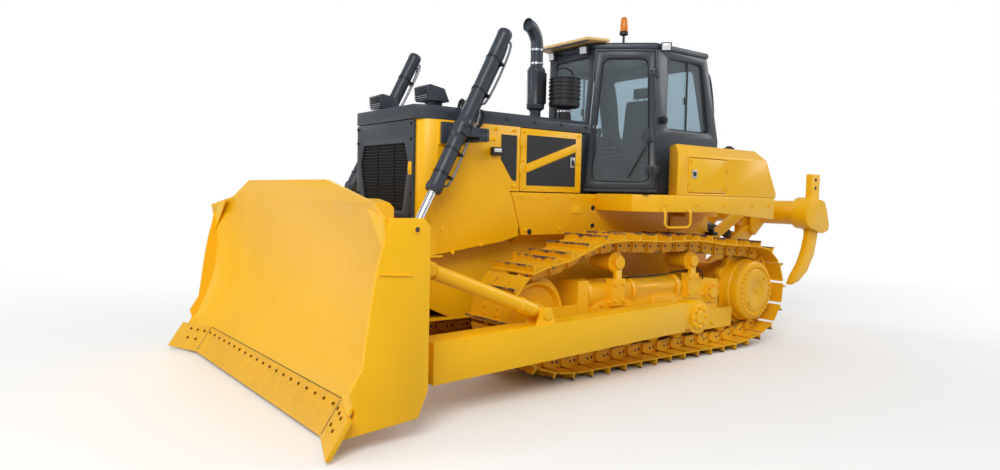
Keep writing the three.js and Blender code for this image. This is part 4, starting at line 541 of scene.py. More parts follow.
# small things on the lower side panels: panel bolts, a recessed pull and three rubber plugs
PANEL_FACE = 0.6205
PANEL_BOLT = (0.022, 0.01, 0.018)
SIDES = (("left", 1), ("right", -1))
for side, sign in SIDES:
    face = sign * PANEL_FACE
    spots = side_spots(((0.16, 1.6), (0.45, 1.6), (0.78, 1.6), (1.1, 1.6), (0.16, 1.29), (0.62, 1.29), (1.05, 1.29)),
        face, sign)
    bolts(side + "_panel_bolts", spots, yellow_enamel, PANEL_BOLT)
    plugs = [pin(x, z, face - sign * 0.004, face + sign * 0.006, 0.026) for x,
        z in ((0.993, 1.268), (0.17, 1.497), (0.17, 1.317))]
    finished(side + "_panel_plugs", joined(plugs), black_rubber)
    cup = block((0.32, face - sign * 0.003, 1.44), (0.46, face + sign * 0.008, 1.52), 0.006)
    finished(side + "_panel_pull", cup, yellow_enamel)

# ---- Track frames with their rollers ----
# A welded box beam on each side carries seven rollers below, two carrier rollers on bolted
# brackets above, the recoil spring's round housing and the ball that the push arm turns on.
RECOIL_X, RECOIL_Z = -1.09, 0.63
COVER_Z = 0.565
CARRIER_PLACES = ((0.36, 1.002), (-0.74, 0.978))
ROLLER_PITCH = 0.368
TRACK_MIDDLE = 1.0
BEAM_FACE = 1.13
for side, sign in SIDES:
    plate_shell(side + "_track_frame", frame_enamel, 0.004, 1)
    near = sign * TRACK_MIDDLE
    face = sign * BEAM_FACE
    fittings = []
    for x, width, radius in ((-0.58, 0.05, 0.158), (0.08, 0.035, 0.152), (0.66, 0.05, 0.158)):
        fittings.append(post((x, near, 0.7), (x + width, near, 0.7), radius, 0.004, 32))
    oval = [(0.27 * cos(a) * 0.62 + (0.1 if cos(a) > 0 else -0.1), 0.085 * sin(a))
        for a in (2 * pi * i / 28 for i in range(28))]
    for x in (-0.8, 0.4):
        cover = prism([(x + a, COVER_Z + b) for a, b in oval], "y", face - sign * 0.002, face + sign * 0.014)
        fittings.append(rounded(cover, 0.003))
    fittings.append(pin(RECOIL_X, RECOIL_Z, face - sign * 0.02, face + sign * 0.035, 0.105, 0.006, 32))
    fittings.append(pin(RECOIL_X, RECOIL_Z, face, face + sign * 0.06, 0.06, 0.006, 32))
    for x, z in CARRIER_PLACES:
        fittings.append(pin(x, z, near + sign * 0.176, near + sign * 0.198, 0.062, 0.006, 28))
        fittings.append(pin(x, z, near + sign * 0.119, near + sign * 0.141, 0.098, 0.006, 28))
        fittings.append(pin(x, z, near - sign * 0.119, near - sign * 0.133, 0.098, 0.004, 28))
    finished(side + "_frame_fittings", joined(fittings), frame_enamel)
    out = (0, sign, 0)
    spots = []
    for x in (-0.8, 0.4):
        for i in range(10):
            a = 2 * pi * (i + 0.5) / 10
            spots.append(((x + 0.2 * cos(a) + (0.035 if cos(a) > 0 else -0.035), face + sign * 0.014,
                COVER_Z + 0.064 * sin(a)), out))
    spots += side_spots([(RECOIL_X + u, RECOIL_Z + v) for u, v in around(8, 0.083)], face + sign * 0.035, sign)
    for x in (0.36, -0.74):
        spots += side_spots([(x + dx, z) for dx in (-0.055, 0.055) for z in (0.645, 0.805)], near + sign * 0.186, sign)
    spots += side_spots([(x, 0.3) for x in (0.72 - ROLLER_PITCH * i for i in range(6))], near + sign * 0.156, sign)
    bolts(side + "_frame_bolts", spots, frame_enamel, (0.026, 0.014, 0.02))
    tube = pipe([(-0.95, near + sign * 0.142, 0.78), (-0.9, near + sign * 0.15, 0.86), (-0.7, near + sign * 0.1, 0.87),
        (-0.3, near + sign * 0.08, 0.845), (0.2, near + sign * 0.08, 0.845)], 0.009, 8, 1)
    finished(side + "_grease_line", tube, black_rubber)

# ---- Idlers ----
# A cast wheel with two treads beside a middle flange, turned on its rim and hub. It runs
# on a fixed shaft that the guide arms of the track frame carry.
IDLER_X, IDLER_Z = 1.285, 0.578
IDLER_RIM = [(0.868, 0.0), (0.868, 0.054), (0.872, 0.058), (0.925, 0.058), (0.93, 0.095), (0.942, 0.1), (0.946, 0.235),
    (0.896, 0.262), (0.894, 0.288), (0.9, 0.2937), (0.946, 0.2937), (0.956, 0.338), (0.964, 0.342), (1.036, 0.342),
    (1.044, 0.338), (1.054, 0.2937), (1.1, 0.2937), (1.106, 0.288), (1.104, 0.268), (1.064, 0.24), (1.06, 0.108),
    (1.096, 0.1), (1.1, 0.094), (1.1, 0.06), (1.128, 0.058), (1.132, 0.054), (1.132, 0.0)]
for side, sign in SIDES:
    wheel = turned((IDLER_X, 0, IDLER_Z), (IDLER_X, sign, IDLER_Z), IDLER_RIM, 56)
    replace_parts(finished(side + "_idler_wheel", wheel, frame_enamel), side + "_idler")
    spots = side_spots([(IDLER_X + u, IDLER_Z + v) for u, v in around(8, 0.078)], sign * 1.1, sign)
    bolts(side + "_idler_bolts", spots, frame_enamel, (0.016, 0.008, 0.012))

# ---- Final drives with their sprockets ----
# A cast housing bolted to the hull, closed by a turned cover with a ring of thirty bolts. The
# sprocket's hardened teeth stand round it in the middle of the track.
DRIVE_X, DRIVE_Z = -1.772, 0.613
DRIVE_CASE = [(0.4404, 0.0), (0.4404, 0.25), (0.64, 0.25), (0.76, 0.305), (0.9, 0.342), (1.112, 0.342), (1.12, 0.338),
    (1.13, 0.328), (1.206, 0.328), (1.226, 0.318), (1.238, 0.3), (1.238, 0.238), (1.242, 0.233), (1.246, 0.228),
    (1.25, 0.216), (1.25, 0.1), (1.246, 0.094), (1.246, 0.0)]
TEETH = 12
TOOTH_ROOT, TOOTH_TIP = 0.378, 0.435
TOOTH_SHAPE = [(-0.5, 0.0), (-0.4, 0.03), (-0.31, 0.22), (-0.23, 0.62), (-0.15, 0.93), (-0.07, 1.0), (0.07, 1.0),
    (0.15, 0.93), (0.23, 0.62), (0.31, 0.22), (0.4, 0.03)]
for side, sign in SIDES:
    case = turned((DRIVE_X, 0, DRIVE_Z), (DRIVE_X, sign, DRIVE_Z), DRIVE_CASE, 64)
    rim = []
    for i in range(TEETH):
        for share, rise in TOOTH_SHAPE:
            a = 2 * pi * (i + share) / TEETH
            r = TOOTH_ROOT + (TOOTH_TIP - TOOTH_ROOT) * rise
            rim.append((DRIVE_X + r * cos(a), DRIVE_Z + r * sin(a)))
    teeth = rounded(prism(rim, "y", sign * 0.968, sign * 1.032), 0.004, 1)
    made = finished(side + "_drive_case", joined([case, teeth]), frame_enamel)
    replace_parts(made, side + "_final_drive")
    ring = side_spots([(DRIVE_X + u, DRIVE_Z + v) for u, v in around(30, 0.268)], sign * 1.238, sign)
    ring += side_spots([(DRIVE_X + r * cos(a), DRIVE_Z + r * sin(a)) for r,
        a in ((0.0, 0.0), (0.19, 2.4), (0.19, 5.5))], sign * 1.246, sign)
    bolts(side + "_drive_bolts", ring, frame_enamel, (0.026, 0.014, 0.019))

# ---- Tracks: forty links with single-grouser shoes ----
# Each link is a pair of forged side plates on a pin and bushing, with a rolled shoe held by
# four bolts. The paint is worn off the grouser tips, the plate ends and the rail faces.
LINK_PINS = [(-1418, 135), (-1202.6, 135), (-987, 135), (-771.3, 135), (-555.7, 135), (-340.1, 135), (-124.4, 135),
    (91.2, 135), (306.7, 135), (522.3, 135), (738, 135), (953.4, 135), (1166.4, 159), (1373.3, 219.2), (1554.9, 330.9),
    (1646.7, 522.5), (1616.6, 732.9), (1474.7, 891.3), (1269.6, 952.1), (1056.6, 985.8), (854, 1058.2), (650, 1126.1),
    (435.3, 1144.2), (219.7, 1144.4), (4.4, 1133.4), (-211.1, 1124.6), (-426.7, 1125.4), (-642.4, 1125.9),
    (-857.2, 1109.5), (-1070.1, 1080), (-1285.9, 1064.7), (-1501.2, 1053), (-1716.4, 1038.9), (-1927.7, 999.8),
    (-2098.6, 872.2), (-2184, 676.9), (-2161.7, 464.8), (-2037.5, 291.5), (-1843.5, 203.1), (-1632, 161)]
SHOE_HALF = 0.28
PITCH = 0.2156
track_enamel = painted("chrome yellow enamel on track shoes", "#f0b200", "#8f7440", 0.6, 0.5, 0.05,
    0.15, worn_colour="#54434a")


def one_link():
    """A link in its own axes: X along the chain, Y across it, Z outwards."""
    shoe = [(0.001, 0.062), (0.01, 0.061), (0.2, 0.061), (0.214, 0.05), (0.219, 0.054), (0.206, 0.075), (0.05, 0.075),
        (0.042, 0.083), (0.0395, 0.132), (0.037, 0.135), (0.027, 0.135), (0.0245, 0.132), (0.022, 0.083),
        (0.014, 0.075), (0.001, 0.072)]
    shape = bmesh.new()
    wear = shape.verts.layers.float.new("wear")

    def plate(outline, low, high, rub):
        rings = [[shape.verts.new((x, y, z)) for x, z in outline] for y in sorted((low, high))]
        for vert in (*rings[0], *rings[1]):
            vert[wear] = rub(vert.co)
        skin(shape, *rings)

    plate(shoe, -SHOE_HALF, SHOE_HALF, lambda p: 0.55 if p.z > 0.13 else 0.14 if p.z > 0.078 else 0.08)
    for side in (-1, 1):
        inner = [(-0.042, -0.03), (-0.03, -0.052), (0.12, -0.055), (0.12, 0.06), (0.035, 0.06), (-0.036, 0.03)]
        outer = [(0.112, -0.055), (PITCH + 0.028, -0.052), (PITCH + 0.042, -0.028), (PITCH + 0.04, 0.028),
            (PITCH + 0.02, 0.048), (0.18, 0.06), (0.112, 0.06)]
        for outline, low, high in ((inner, 0.064, 0.087), (outer, 0.087, 0.11)):
            plate(outline, side * low, side * high, lambda p: 0.42 if p.z < -0.05 else 0.04)
        for x, z, radius, rub in ((0.0, 0.0, 0.021, 0.3), (0.078, 0.008, 0.013, 0.95), (0.15, 0.008, 0.013, 0.95)):
            low, high = (0.087, 0.092) if x < 0.1 else (0.11, 0.112)
            disc = [(x + u, z + v) for u, v in around(10, radius)]
            plate(disc, side * low, side * high, lambda p: rub)
    for x in (0.082, 0.142):
        for y in (-0.088, 0.088):
            rings = [[shape.verts.new((x + u, y + v, z)) for u, v in around(6, 0.017)] for z in (0.075, 0.09)]
            for vert in (*rings[0], *rings[1]):
                vert[wear] = 0.3
            skin(shape, *rings)
    return to_mesh(shape, "track_link")


def chain_tree():
    """Geometry Nodes: one link on every pin, turned along the chain and scaled to the pitch."""
    tree, given = node_tree("track chain", {"Pins": "Geometry", "Link": "Object", "Link Stretch": "Float",
        "Finish": "Material"}, "Chain")
    link = add_node(tree, "GeometryNodeObjectInfo", {"Object": given.outputs["Link"]})
    turn = add_node(tree, "GeometryNodeInputNamedAttribute", {"Name": "turn"}, data_type="FLOAT_VECTOR")
    size = add_node(tree, "ShaderNodeCombineXYZ", {"X": given.outputs["Link Stretch"], "Y": 1.0, "Z": 1.0})
    return set_out(tree, given, "Chain", link.outputs["Geometry"], turn.outputs[0], size.outputs[0])


chain_nodes = chain_tree()
link_holder = held(one_link())
for side, sign in SIDES:
    spots = []
    for i, (x, z) in enumerate(LINK_PINS):
        next_x, next_z = LINK_PINS[(i + 1) % len(LINK_PINS)]
        along = Vector((next_x - x, 0, next_z - z)).normalized()
        outwards = Vector((along.z, 0, -along.x))
        turn = Matrix((along, outwards.cross(along), outwards)).transposed().to_euler()
        spots.append(((x / 1000, sign * TRACK_MIDDLE, z / 1000), turn))
    chain = through_nodes(spot_mesh(spots), chain_nodes,
        {"Link": link_holder, "Link Stretch": 1.0, "Finish": track_enamel})
    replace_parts(finished(side + "_chain", chain, track_enamel, smooth=30), side + "_track")
bpy.data.objects.remove(link_holder)

# ---- Engine, radiator core and fan ----
# The engine stands as one cast block between the rails. The core is a finned block with a
# black coat, and the fan behind the grille is cast and painted yellow.
cast_iron = moulded("sand cast iron", "engine_metal", "#4a4844", 0.62, 90, 0.6)
frame["nodes"]["engine_block"].material_slots[0].material = cast_iron


def finned(name, colour):
    """Radiator core: upright fins, drawn 12 mm apart, coarser than real so that they show, with painted shade between
    them and painted light on them.
    """
    material, tree = new_material(name)
    place = add_node(tree, "ShaderNodeTexCoord").outputs["Object"]
    turned_place = add_node(tree, "ShaderNodeMapping", {"Vector": place, "Rotation": (0, 0, pi / 2)})
    fins = add_node(tree, "ShaderNodeTexWave", {"Vector": turned_place, "Scale": 26.0})
    # the stripes run dark between the fins and light on them: painted shade in the gaps and painted light on the fins
    shade = add_node(tree, "ShaderNodeMapRange", {"Value": fins.outputs["Fac"], "To Min": 0.4, "To Max": 1.2})
    tint = add_node(tree, "ShaderNodeHueSaturation", {"Color": linear(colour), "Value": shade})
    bump = add_node(tree, "ShaderNodeBump", {"Height": fins.outputs["Fac"], "Strength": 0.7, "Distance": 0.004})
    add_node(tree, "ShaderNodeOutputMaterial",
        {"Surface": add_node(tree, "ShaderNodeBsdfPrincipled",
        {"Base Color": tint, "Roughness": 0.55, "Normal": bump, "IOR": 1.5})})
    return material


frame["nodes"]["radiator_core"].material_slots[0].material = finned("black coated core fins", "#1c1c1e")
frame["nodes"]["radiator_fan"].material_slots[0].material = yellow_enamel

# ---- Radiator guard with the fixed side panels ----
# One welded plate box round the radiator. A perforated sheet fills a window in each side
# panel, and a small side lamp and the panel bolts are fixed on the outside.
GUARD_SIDE = 0.6202


def perforated(name, colour):
    """Punched sheet: holes drawn 15 mm apart, coarser than real so that they show; their near-black is painted shade.
    """
    material, tree = new_material(name)
    place = add_node(tree, "ShaderNodeTexCoord").outputs["Object"]
    flat = add_node(tree, "ShaderNodeMapping", {"Vector": place, "Scale": (1.0, 0.0, 1.0)})
    cells = add_node(tree, "ShaderNodeTexVoronoi", {"Vector": flat, "Scale": 66.0, "Randomness": 0.0})
    hole = add_node(tree, "ShaderNodeMapRange",
        {"Value": cells.outputs["Distance"], "From Min": 0.24, "From Max": 0.34, "To Min": 0.0, "To Max": 1.0})
    # the holes take a near-black colour: painted shade of the dark space seen through them
    tint = add_node(tree, "ShaderNodeMix", {0: hole, 6: linear("#050506"), 7: linear(colour)},
        data_type="RGBA").outputs[2]
    bump = add_node(tree, "ShaderNodeBump", {"Height": hole, "Strength": 0.8, "Distance": 0.004})
    add_node(tree, "ShaderNodeOutputMaterial",
        {"Surface": add_node(tree, "ShaderNodeBsdfPrincipled",
        {"Base Color": tint, "Roughness": 0.5, "Normal": bump, "IOR": 1.5})})
    return material


punched_sheet = perforated("black punched sheet", "#26282b")
lamp_glass = moulded("moulded clear lens", "cab_glass", "#dfe4e8", 0.12, 300, 0.5)
plate_shell("radiator_guard", yellow_enamel, 0.006)
for side, sign in SIDES:
    face = sign * GUARD_SIDE
    window = prism([(1.345, 2.15), (1.165, 2.15), (1.165, 1.735), (1.215, 1.745), (1.345, 1.925)], "y",
        face - sign * 0.002, face + sign * 0.003)
    finished(side + "_guard_screen", window, punched_sheet)
    lamp = block((1.36, face - sign * 0.002, 1.955), (1.47, face + sign * 0.045, 2.03), 0.012, 3)
    finished(side + "_side_lamp", lamp, black_plastic)
    lens = block((1.375, face + sign * 0.044, 1.985), (1.455, face + sign * 0.05, 2.018), 0.003)
    finished(side + "_side_lamp_lens", lens, lamp_glass)
    spots = side_spots(((1.4, 2.195), (1.6, 2.195), (1.19, 2.195), (1.19, 1.69), (1.96, 1.3), (1.96, 1.62),
        (1.96, 1.92), (1.55, 1.16), (1.85, 1.1), (1.42, 2.1), (1.47, 2.1)), face, sign)
    bolts(side + "_guard_bolts", spots, yellow_enamel, PANEL_BOLT)
    finished(side + "_guard_pin", upright(1.9, sign * 0.56, 2.225, 2.262, 0.012, 0.002, 12), yellow_enamel)

# ---- Radiator grille ----
# A hinged frame of folded sheet with twenty-one slats of bent strip, painted black. A flat
# yellow latch holds it on the machine's left edge.
SMALL_BOLT = (0.018, 0.008, 0.014)
GRILLE_BACK, GRILLE_FRONT = 2.171, 2.201
GRILLE_LOW, GRILLE_HIGH, GRILLE_HALF = 1.39, 2.222, 0.516
OPENING = [(-0.35, 1.45), (-0.44, 1.87), (-0.38, 2.032), (0.38, 2.032), (0.44, 1.87), (0.35, 1.45)]


def ringed_panel(outer, inner, low, high):
    """A flat plate across X with one hole: both outlines run the same way round."""
    shape = bmesh.new()
    levels = [[shape.verts.new((x, y, z)) for y, z in outline] for x in (low, high) for outline in (outer, inner)]
    for ring in levels:
        for i in range(len(ring)):
            shape.edges.new((ring[i], ring[(i + 1) % len(ring)]))
    for a, b in ((0, 1), (2, 3)):
        edges = [e for e in shape.edges if all(v in levels[a] or v in levels[b] for v in e.verts)]
        bmesh.ops.triangle_fill(shape, edges=edges, use_beauty=True)
    for a, b in ((0, 2), (1, 3)):
        for i in range(len(levels[a])):
            j = (i + 1) % len(levels[a])
            shape.faces.new((levels[a][i], levels[a][j], levels[b][j], levels[b][i]))
    bmesh.ops.recalc_face_normals(shape, faces=shape.faces)
    bmesh.ops.dissolve_limit(shape, angle_limit=FLAT_WITHIN, verts=shape.verts, edges=shape.edges)
    return to_mesh(shape, "ringed_panel")


def slat_tree():
    """Geometry Nodes: one tilted slat on every place, as wide as the place's reach."""
    tree, given = node_tree("grille slats", {"Places": "Geometry", "Slat Length": "Float", "Slat Depth": "Float",
        "Slat Gauge": "Float", "Slat Tilt": "Float", "Finish": "Material"}, "Slats")
    size = add_node(tree, "ShaderNodeCombineXYZ",
        {"X": given.outputs["Slat Depth"], "Y": 1.0, "Z": given.outputs["Slat Gauge"]})
    strip = add_node(tree, "GeometryNodeMeshCube", {"Size": size})
    tilt = add_node(tree, "ShaderNodeCombineXYZ", {"Y": given.outputs["Slat Tilt"]})
    reach = add_node(tree, "GeometryNodeInputNamedAttribute", {"Name": "reach"}, data_type="FLOAT")
    full = add_node(tree, "ShaderNodeMath", {0: reach, 1: given.outputs["Slat Length"]}, operation="MULTIPLY")
    scale = add_node(tree, "ShaderNodeCombineXYZ", {"X": 1.0, "Y": full, "Z": 1.0})
    return set_out(tree, given, "Slats", strip.outputs[0], tilt.outputs[0], scale.outputs[0])


slat_nodes = slat_tree()


def slats(places, reaches, length, depth, gauge, tilt, material):
    mesh = bpy.data.meshes.new("slat_places")
    mesh.from_pydata(places, [], [])
    reach = mesh.attributes.new("reach", "FLOAT", "POINT")
    for index, value in enumerate(reaches):
        reach.data[index].value = value
    return through_nodes(mesh, slat_nodes, {"Slat Length": length, "Slat Depth": depth, "Slat Gauge": gauge,
        "Slat Tilt": tilt, "Finish": material})


def opening_half(z):
    """Half width of the grille opening at a height."""
    low, middle, high = OPENING[5], OPENING[4], OPENING[3]
    first, second = (low, middle) if z < middle[1] else (middle, high)
    share = (z - first[1]) / (second[1] - first[1])
    return first[0] + (second[0] - first[0]) * share


outer_edge = [(-GRILLE_HALF, GRILLE_LOW), (-GRILLE_HALF, GRILLE_HIGH), (GRILLE_HALF, GRILLE_HIGH),
    (GRILLE_HALF, GRILLE_LOW)]
surround = rounded(ringed_panel(outer_edge, OPENING, GRILLE_BACK, GRILLE_FRONT), 0.005)
hinges = [upright(2.1754, -0.518, z - 0.05, z + 0.05, 0.01, 0.001, 16) for z in (1.51, 2.102)]
made = finished("grille_frame", joined([surround, *hinges]), slate_enamel, "grille_door")
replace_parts(made, "radiator_grille")
SLATS = 21
heights = [1.45 + 0.582 * (i + 0.5) / SLATS for i in range(SLATS)]
stack = slats([(2.186, 0, z) for z in heights], [2 * opening_half(z) + 0.008 for z in heights], 1.0, 0.026, 0.004,
    radians(35), black_enamel)
bars = [slab((2.176, y - 0.006, 1.44), (2.184, y + 0.006, 2.04)) for y in (-0.15, 0.15)]
finished("grille_slats", stack, black_enamel, "grille_door")
fly_screen = prism([(y * 1.01, z) for y, z in OPENING], "x", 2.1722, 2.1742)
finished("grille_fly_screen", fly_screen, punched_sheet, "grille_door")
finished("grille_uprights", joined(bars), black_enamel, "grille_door")
latch = rounded(joined([slab((2.2, 0.462, 1.76), (2.212, 0.506, 1.87)),
    slab((2.2, 0.474, 1.79), (2.222, 0.494, 1.84))]), 0.003)
finished("grille_latch", latch, yellow_enamel, "grille_door")
spots = [((GRILLE_FRONT, y, z), (1, 0, 0)) for y in (-0.49, 0.49) for z in (1.42, 1.6, 2.06, 2.19)]
bolts("grille_bolts", spots, black_enamel, SMALL_BOLT, "grille_door")

# ---- Engine side doors ----
# Folded sheet doors with two punched screens split by a slanting rib. Hinges stand on the
# front edge, a silver latch on the rear edge and a bolt in each corner.
DOOR_SIDE = 0.6202
for side, sign in SIDES:
    body = side + "_engine_side_door"
    face = sign * DOOR_SIDE
    plate_shell(side + "_engine_door", yellow_enamel, 0.004)
    screens = [prism(outline, "y", face - sign * 0.002, face + sign * 0.003)
        for outline in ([(1.045, 2.165), (0.43, 2.165), (0.43, 2.12), (1.045, 1.9)],
        [(1.045, 1.815), (0.43, 2.035), (0.43, 1.7), (1.045, 1.7)])]
    finished(side + "_door_screens", joined(screens), punched_sheet, body)
    rib = rounded(prism([(1.05, 1.822), (1.05, 1.893), (0.425, 2.113), (0.425, 2.042)], "y", face - sign * 0.002,
        face + sign * 0.008), 0.003)
    finished(side + "_door_rib", rib, yellow_enamel, body)
    bolts(side + "_door_bolts", side_spots([(x, z) for x in (1.085, 0.385) for z in (2.195, 1.675, 1.93)], face, sign),
        yellow_enamel, (0.02, 0.008, 0.016), body)
    latch = block((0.442, face, 1.885), (0.502, face + sign * 0.012, 1.985), 0.005, 3)
    finished(side + "_door_latch", latch, zinc_steel, body)
    paddle = block((0.456, face + sign * 0.011, 1.9), (0.488, face + sign * 0.016, 1.955), 0.002)
    finished(side + "_door_paddle", paddle, black_plastic, body)

# ---- Hood with lamp boxes, exhaust and air pre-cleaner ----
# The hood is folded sheet with a satin slate coat. The lamp boxes have louvred faces, the
# muffler is rolled sheet with a heat shield, and the pre-cleaner is moulded plastic.
HOOD_TOP = 2.35
SEAT_GAP = 0.0004
plate_shell("hood", slate_enamel, 0.006)
for side, sign in SIDES:
    y = sign * 0.42
    louvres = [rounded(prism([(2.052, z), (2.078, z + 0.004), (2.08, z + 0.01), (2.054, z + 0.012)], "y", y - 0.1,
        y + 0.1), 0.0015, 1) for z in (2.405 + 0.018 * i for i in range(6))]
    finished(side + "_lamp_louvres", joined(louvres), black_plastic)
    finished(side + "_hood_lamp_lens", block((2.056, y - 0.088, 2.404), (2.064, y + 0.088, 2.508), 0.003), lamp_glass)
    spots = side_spots([(x, 2.29) for x in (0.29, 0.62, 0.95, 1.28, 1.62, 1.93)], sign * 0.6212, sign)
    bolts(side + "_hood_bolts", spots, slate_enamel, SMALL_BOLT)
seams = [slab((x, -0.575, HOOD_TOP - 0.001), (x + 0.012, 0.575, HOOD_TOP + 0.003)) for x in (0.98, 1.72)]
finished("hood_seams", rounded(joined(seams), 0.001, 1), black_rubber)

STACK_X, STACK_Y = 0.56, 0.15
CAN = [(0.0, 0.055), (0.1, 0.055), (0.118, 0.06), (0.13, 0.084), (0.142, 0.09), (0.165, 0.0905), (0.17, 0.0925),
    (0.18, 0.0925), (0.185, 0.0905), (0.5, 0.0905), (0.505, 0.0925), (0.515, 0.0925), (0.52, 0.09), (0.54, 0.084),
    (0.552, 0.068), (0.56, 0.0665)]
can = stood(STACK_X, STACK_Y, HOOD_TOP + SEAT_GAP, CAN, 40)


def bent_tube(points, radius, sides=28, steps=10, slant=0.0):
    """A round tube on a smooth curve through the points, with an open, hollow far end."""
    knots = [Vector(p) for p in points]
    path = []
    for i in range(len(knots) - 1):
        before, first, second = knots[max(i - 1, 0)], knots[i], knots[i + 1]
        after = knots[min(i + 2, len(knots) - 1)]
        for j in range(steps):
            t = j / steps
            path.append(0.5 * (2 * first + (second - before) * t + (2 * before - 5 * first + 4 * second - after)
                * t ** 2 + (3 * first - before - 3 * second + after) * t ** 3))
    path.append(knots[-1])
    shape = bmesh.new()
    rings = []
    side_way = Vector((0, 1, 0))
    for i, place in enumerate(path):
        tangent = (path[min(i + 1, len(path) - 1)] - path[max(i - 1, 0)]).normalized()
        across = (side_way - tangent * side_way.dot(tangent)).normalized()
        third = tangent.cross(across)
        lean = slant * radius if i == len(path) - 1 else 0.0
        rings.append([shape.verts.new(place + (across * cos(a) + third * sin(a)) * radius + tangent * lean * sin(a))
            for a in (2 * pi * k / sides for k in range(sides))])
    inner = [[shape.verts.new(v.co + (path[n] - v.co).normalized() * 0.005) for v in rings[n]]
        for n in (len(path) - 1, len(path) - 4)]
    skin(shape, *rings, *inner)
    return to_mesh(shape, "bent_tube")


outlet = bent_tube([(STACK_X, STACK_Y, 2.88), (STACK_X, STACK_Y, 3.12), (STACK_X + 0.025, STACK_Y + 0.005, 3.21),
    (STACK_X + 0.085, STACK_Y + 0.017, 3.275), (STACK_X + 0.145, STACK_Y + 0.029, 3.298)], 0.064, slant=0.35)
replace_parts(finished("exhaust_pipe", joined([can, outlet]), slate_enamel), "exhaust_stack")
shield = [(STACK_X + 0.108 * cos(a), STACK_Y + 0.108 * sin(a))
    for a in (radians(60 + 150 * i / 14) for i in range(15))]
shield += [(STACK_X + 0.104 * cos(a), STACK_Y + 0.104 * sin(a))
    for a in (radians(210 - 150 * i / 14) for i in range(15))]
finished("exhaust_shield", prism(shield, "z", 2.54, 2.84), black_enamel)
clamps = [stood(STACK_X, STACK_Y, z, [(0, 0.0655), (0.001, 0.07), (0.021, 0.07), (0.022, 0.0655)])
    for z in (2.925, 3.06)]
finished("exhaust_clamps", joined(clamps), zinc_steel)

CLEANER_X, CLEANER_Y = 0.33, 0.33
DRUM = [(0.0, 0.062), (0.135, 0.062), (0.145, 0.075), (0.15, 0.135), (0.158, 0.152), (0.175, 0.158), (0.205, 0.158),
    (0.21, 0.148), (0.226, 0.148), (0.231, 0.16), (0.238, 0.163)]
for i in range(5):
    DRUM += [(0.245 + 0.04 * i, 0.163), (0.251 + 0.04 * i, 0.153), (0.269 + 0.04 * i, 0.153),
        (0.275 + 0.04 * i, 0.163)]
DRUM += [(0.438, 0.155), (0.446, 0.14), (0.449, 0.06), (0.449, 0.0)]
drum = stood(CLEANER_X, CLEANER_Y, HOOD_TOP + SEAT_GAP, DRUM, 44)
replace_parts(finished("pre_cleaner_drum", drum, black_plastic), "air_pre_cleaner")
hoop = pipe([(CLEANER_X - 0.11, CLEANER_Y, 2.79), (CLEANER_X - 0.11, CLEANER_Y, 2.85),
    (CLEANER_X - 0.07, CLEANER_Y, 2.885), (CLEANER_X + 0.07, CLEANER_Y, 2.885), (CLEANER_X + 0.11, CLEANER_Y, 2.85),
    (CLEANER_X + 0.11, CLEANER_Y, 2.79)], 0.008, 8, 1)
finished("pre_cleaner_hoop", hoop, black_enamel)
band = stood(CLEANER_X, CLEANER_Y, 2.455, [(0, 0.0625), (0.001, 0.067), (0.017, 0.067), (0.018, 0.0625)])
finished("pre_cleaner_clamp", band, zinc_steel)
collar = stood(CLEANER_X, CLEANER_Y, HOOD_TOP, [(0.0002, 0.064), (0.001, 0.088), (0.018, 0.088), (0.034, 0.072),
    (0.09, 0.07), (0.091, 0.064)])
finished("pre_cleaner_collar", collar, black_rubber)

# ---- Platforms, side tanks, compartment door and rear fuel tank ----
# Folded and welded steel plate with large rounded corners. The compartment door has two
# hinges and a recessed silver latch, and grip strips are riveted on the platforms.
for side, sign in SIDES:
    plate_shell(side + "_fender", yellow_enamel, 0.006)
    plate_shell(side + "_tank", yellow_enamel, 0.022, 3)
    strips = [block((x, sign * 0.9, 1.6402), (x + 0.05, sign * 1.22, 1.646), 0.002, 1)
        for x in (-0.28, -0.18, -0.08, 0.02)]
    finished(side + "_grip_strips", joined(strips), black_rubber)
    spots = side_spots([(x, 1.555) for x in (-0.15, -0.62, -1.1, -1.58, -1.9)], sign * 1.2802, sign)
    bolts(side + "_platform_bolts", spots, yellow_enamel, PANEL_BOLT)
    step = pipe([(-0.1, sign * 1.292, 1.5), (-0.1, sign * 1.318, 1.47), (-0.1, sign * 1.318, 1.36),
        (-0.14, sign * 1.318, 1.33), (-0.44, sign * 1.318, 1.33), (-0.48, sign * 1.318, 1.36),
        (-0.48, sign * 1.318, 1.47), (-0.48, sign * 1.292, 1.5)], 0.012, 8)
    finished(side + "_step_rung", step, yellow_enamel)
    cap = joined([upright(-1.45, sign * 1.05, 2.1495, 2.175, 0.055, 0.006, 32),
        upright(-1.45, sign * 1.05, 2.174, 2.19, 0.034, 0.005, 6)])
    finished(side + "_filler_cap", cap, black_plastic)
plate_shell("fuel_tank", yellow_enamel, 0.022, 3)
plate_shell("tank_compartment_door", yellow_enamel, 0.008)
TANK_FACE = 1.2802
bolts("tank_door_bolts", [((x, TANK_FACE, z), (0, 1, 0)) for x in (-1.075, -0.51) for z in (1.7, 1.985)],
    yellow_enamel, SMALL_BOLT, "tank_door")
latch = block((-0.6, TANK_FACE - 0.001, 1.815), (-0.525, TANK_FACE + 0.01, 1.895), 0.005, 3)
finished("tank_door_latch", latch, zinc_steel, "tank_door")
paddle = block((-0.585, TANK_FACE + 0.009, 1.833), (-0.54, TANK_FACE + 0.013, 1.877), 0.002)
finished("tank_door_paddle", paddle, black_plastic, "tank_door")
for name, low, high, body in (("tank_hinge_leaves", -1.135, -1.108, "chassis"),
        ("tank_door_hinges", -1.092, -1.065, "tank_door")):
    leaves = [block((low, 1.2805, z - 0.045), (high, 1.286, z + 0.045), 0.002) for z in (1.752, 1.932)]
    finished(name, joined(leaves), yellow_enamel, body)
bolts("rear_tank_bolts", [((-1.9905, y, z), (-1, 0, 0)) for y in (-0.82, 0.82) for z in (1.7, 1.9)], yellow_enamel,
    PANEL_BOLT)

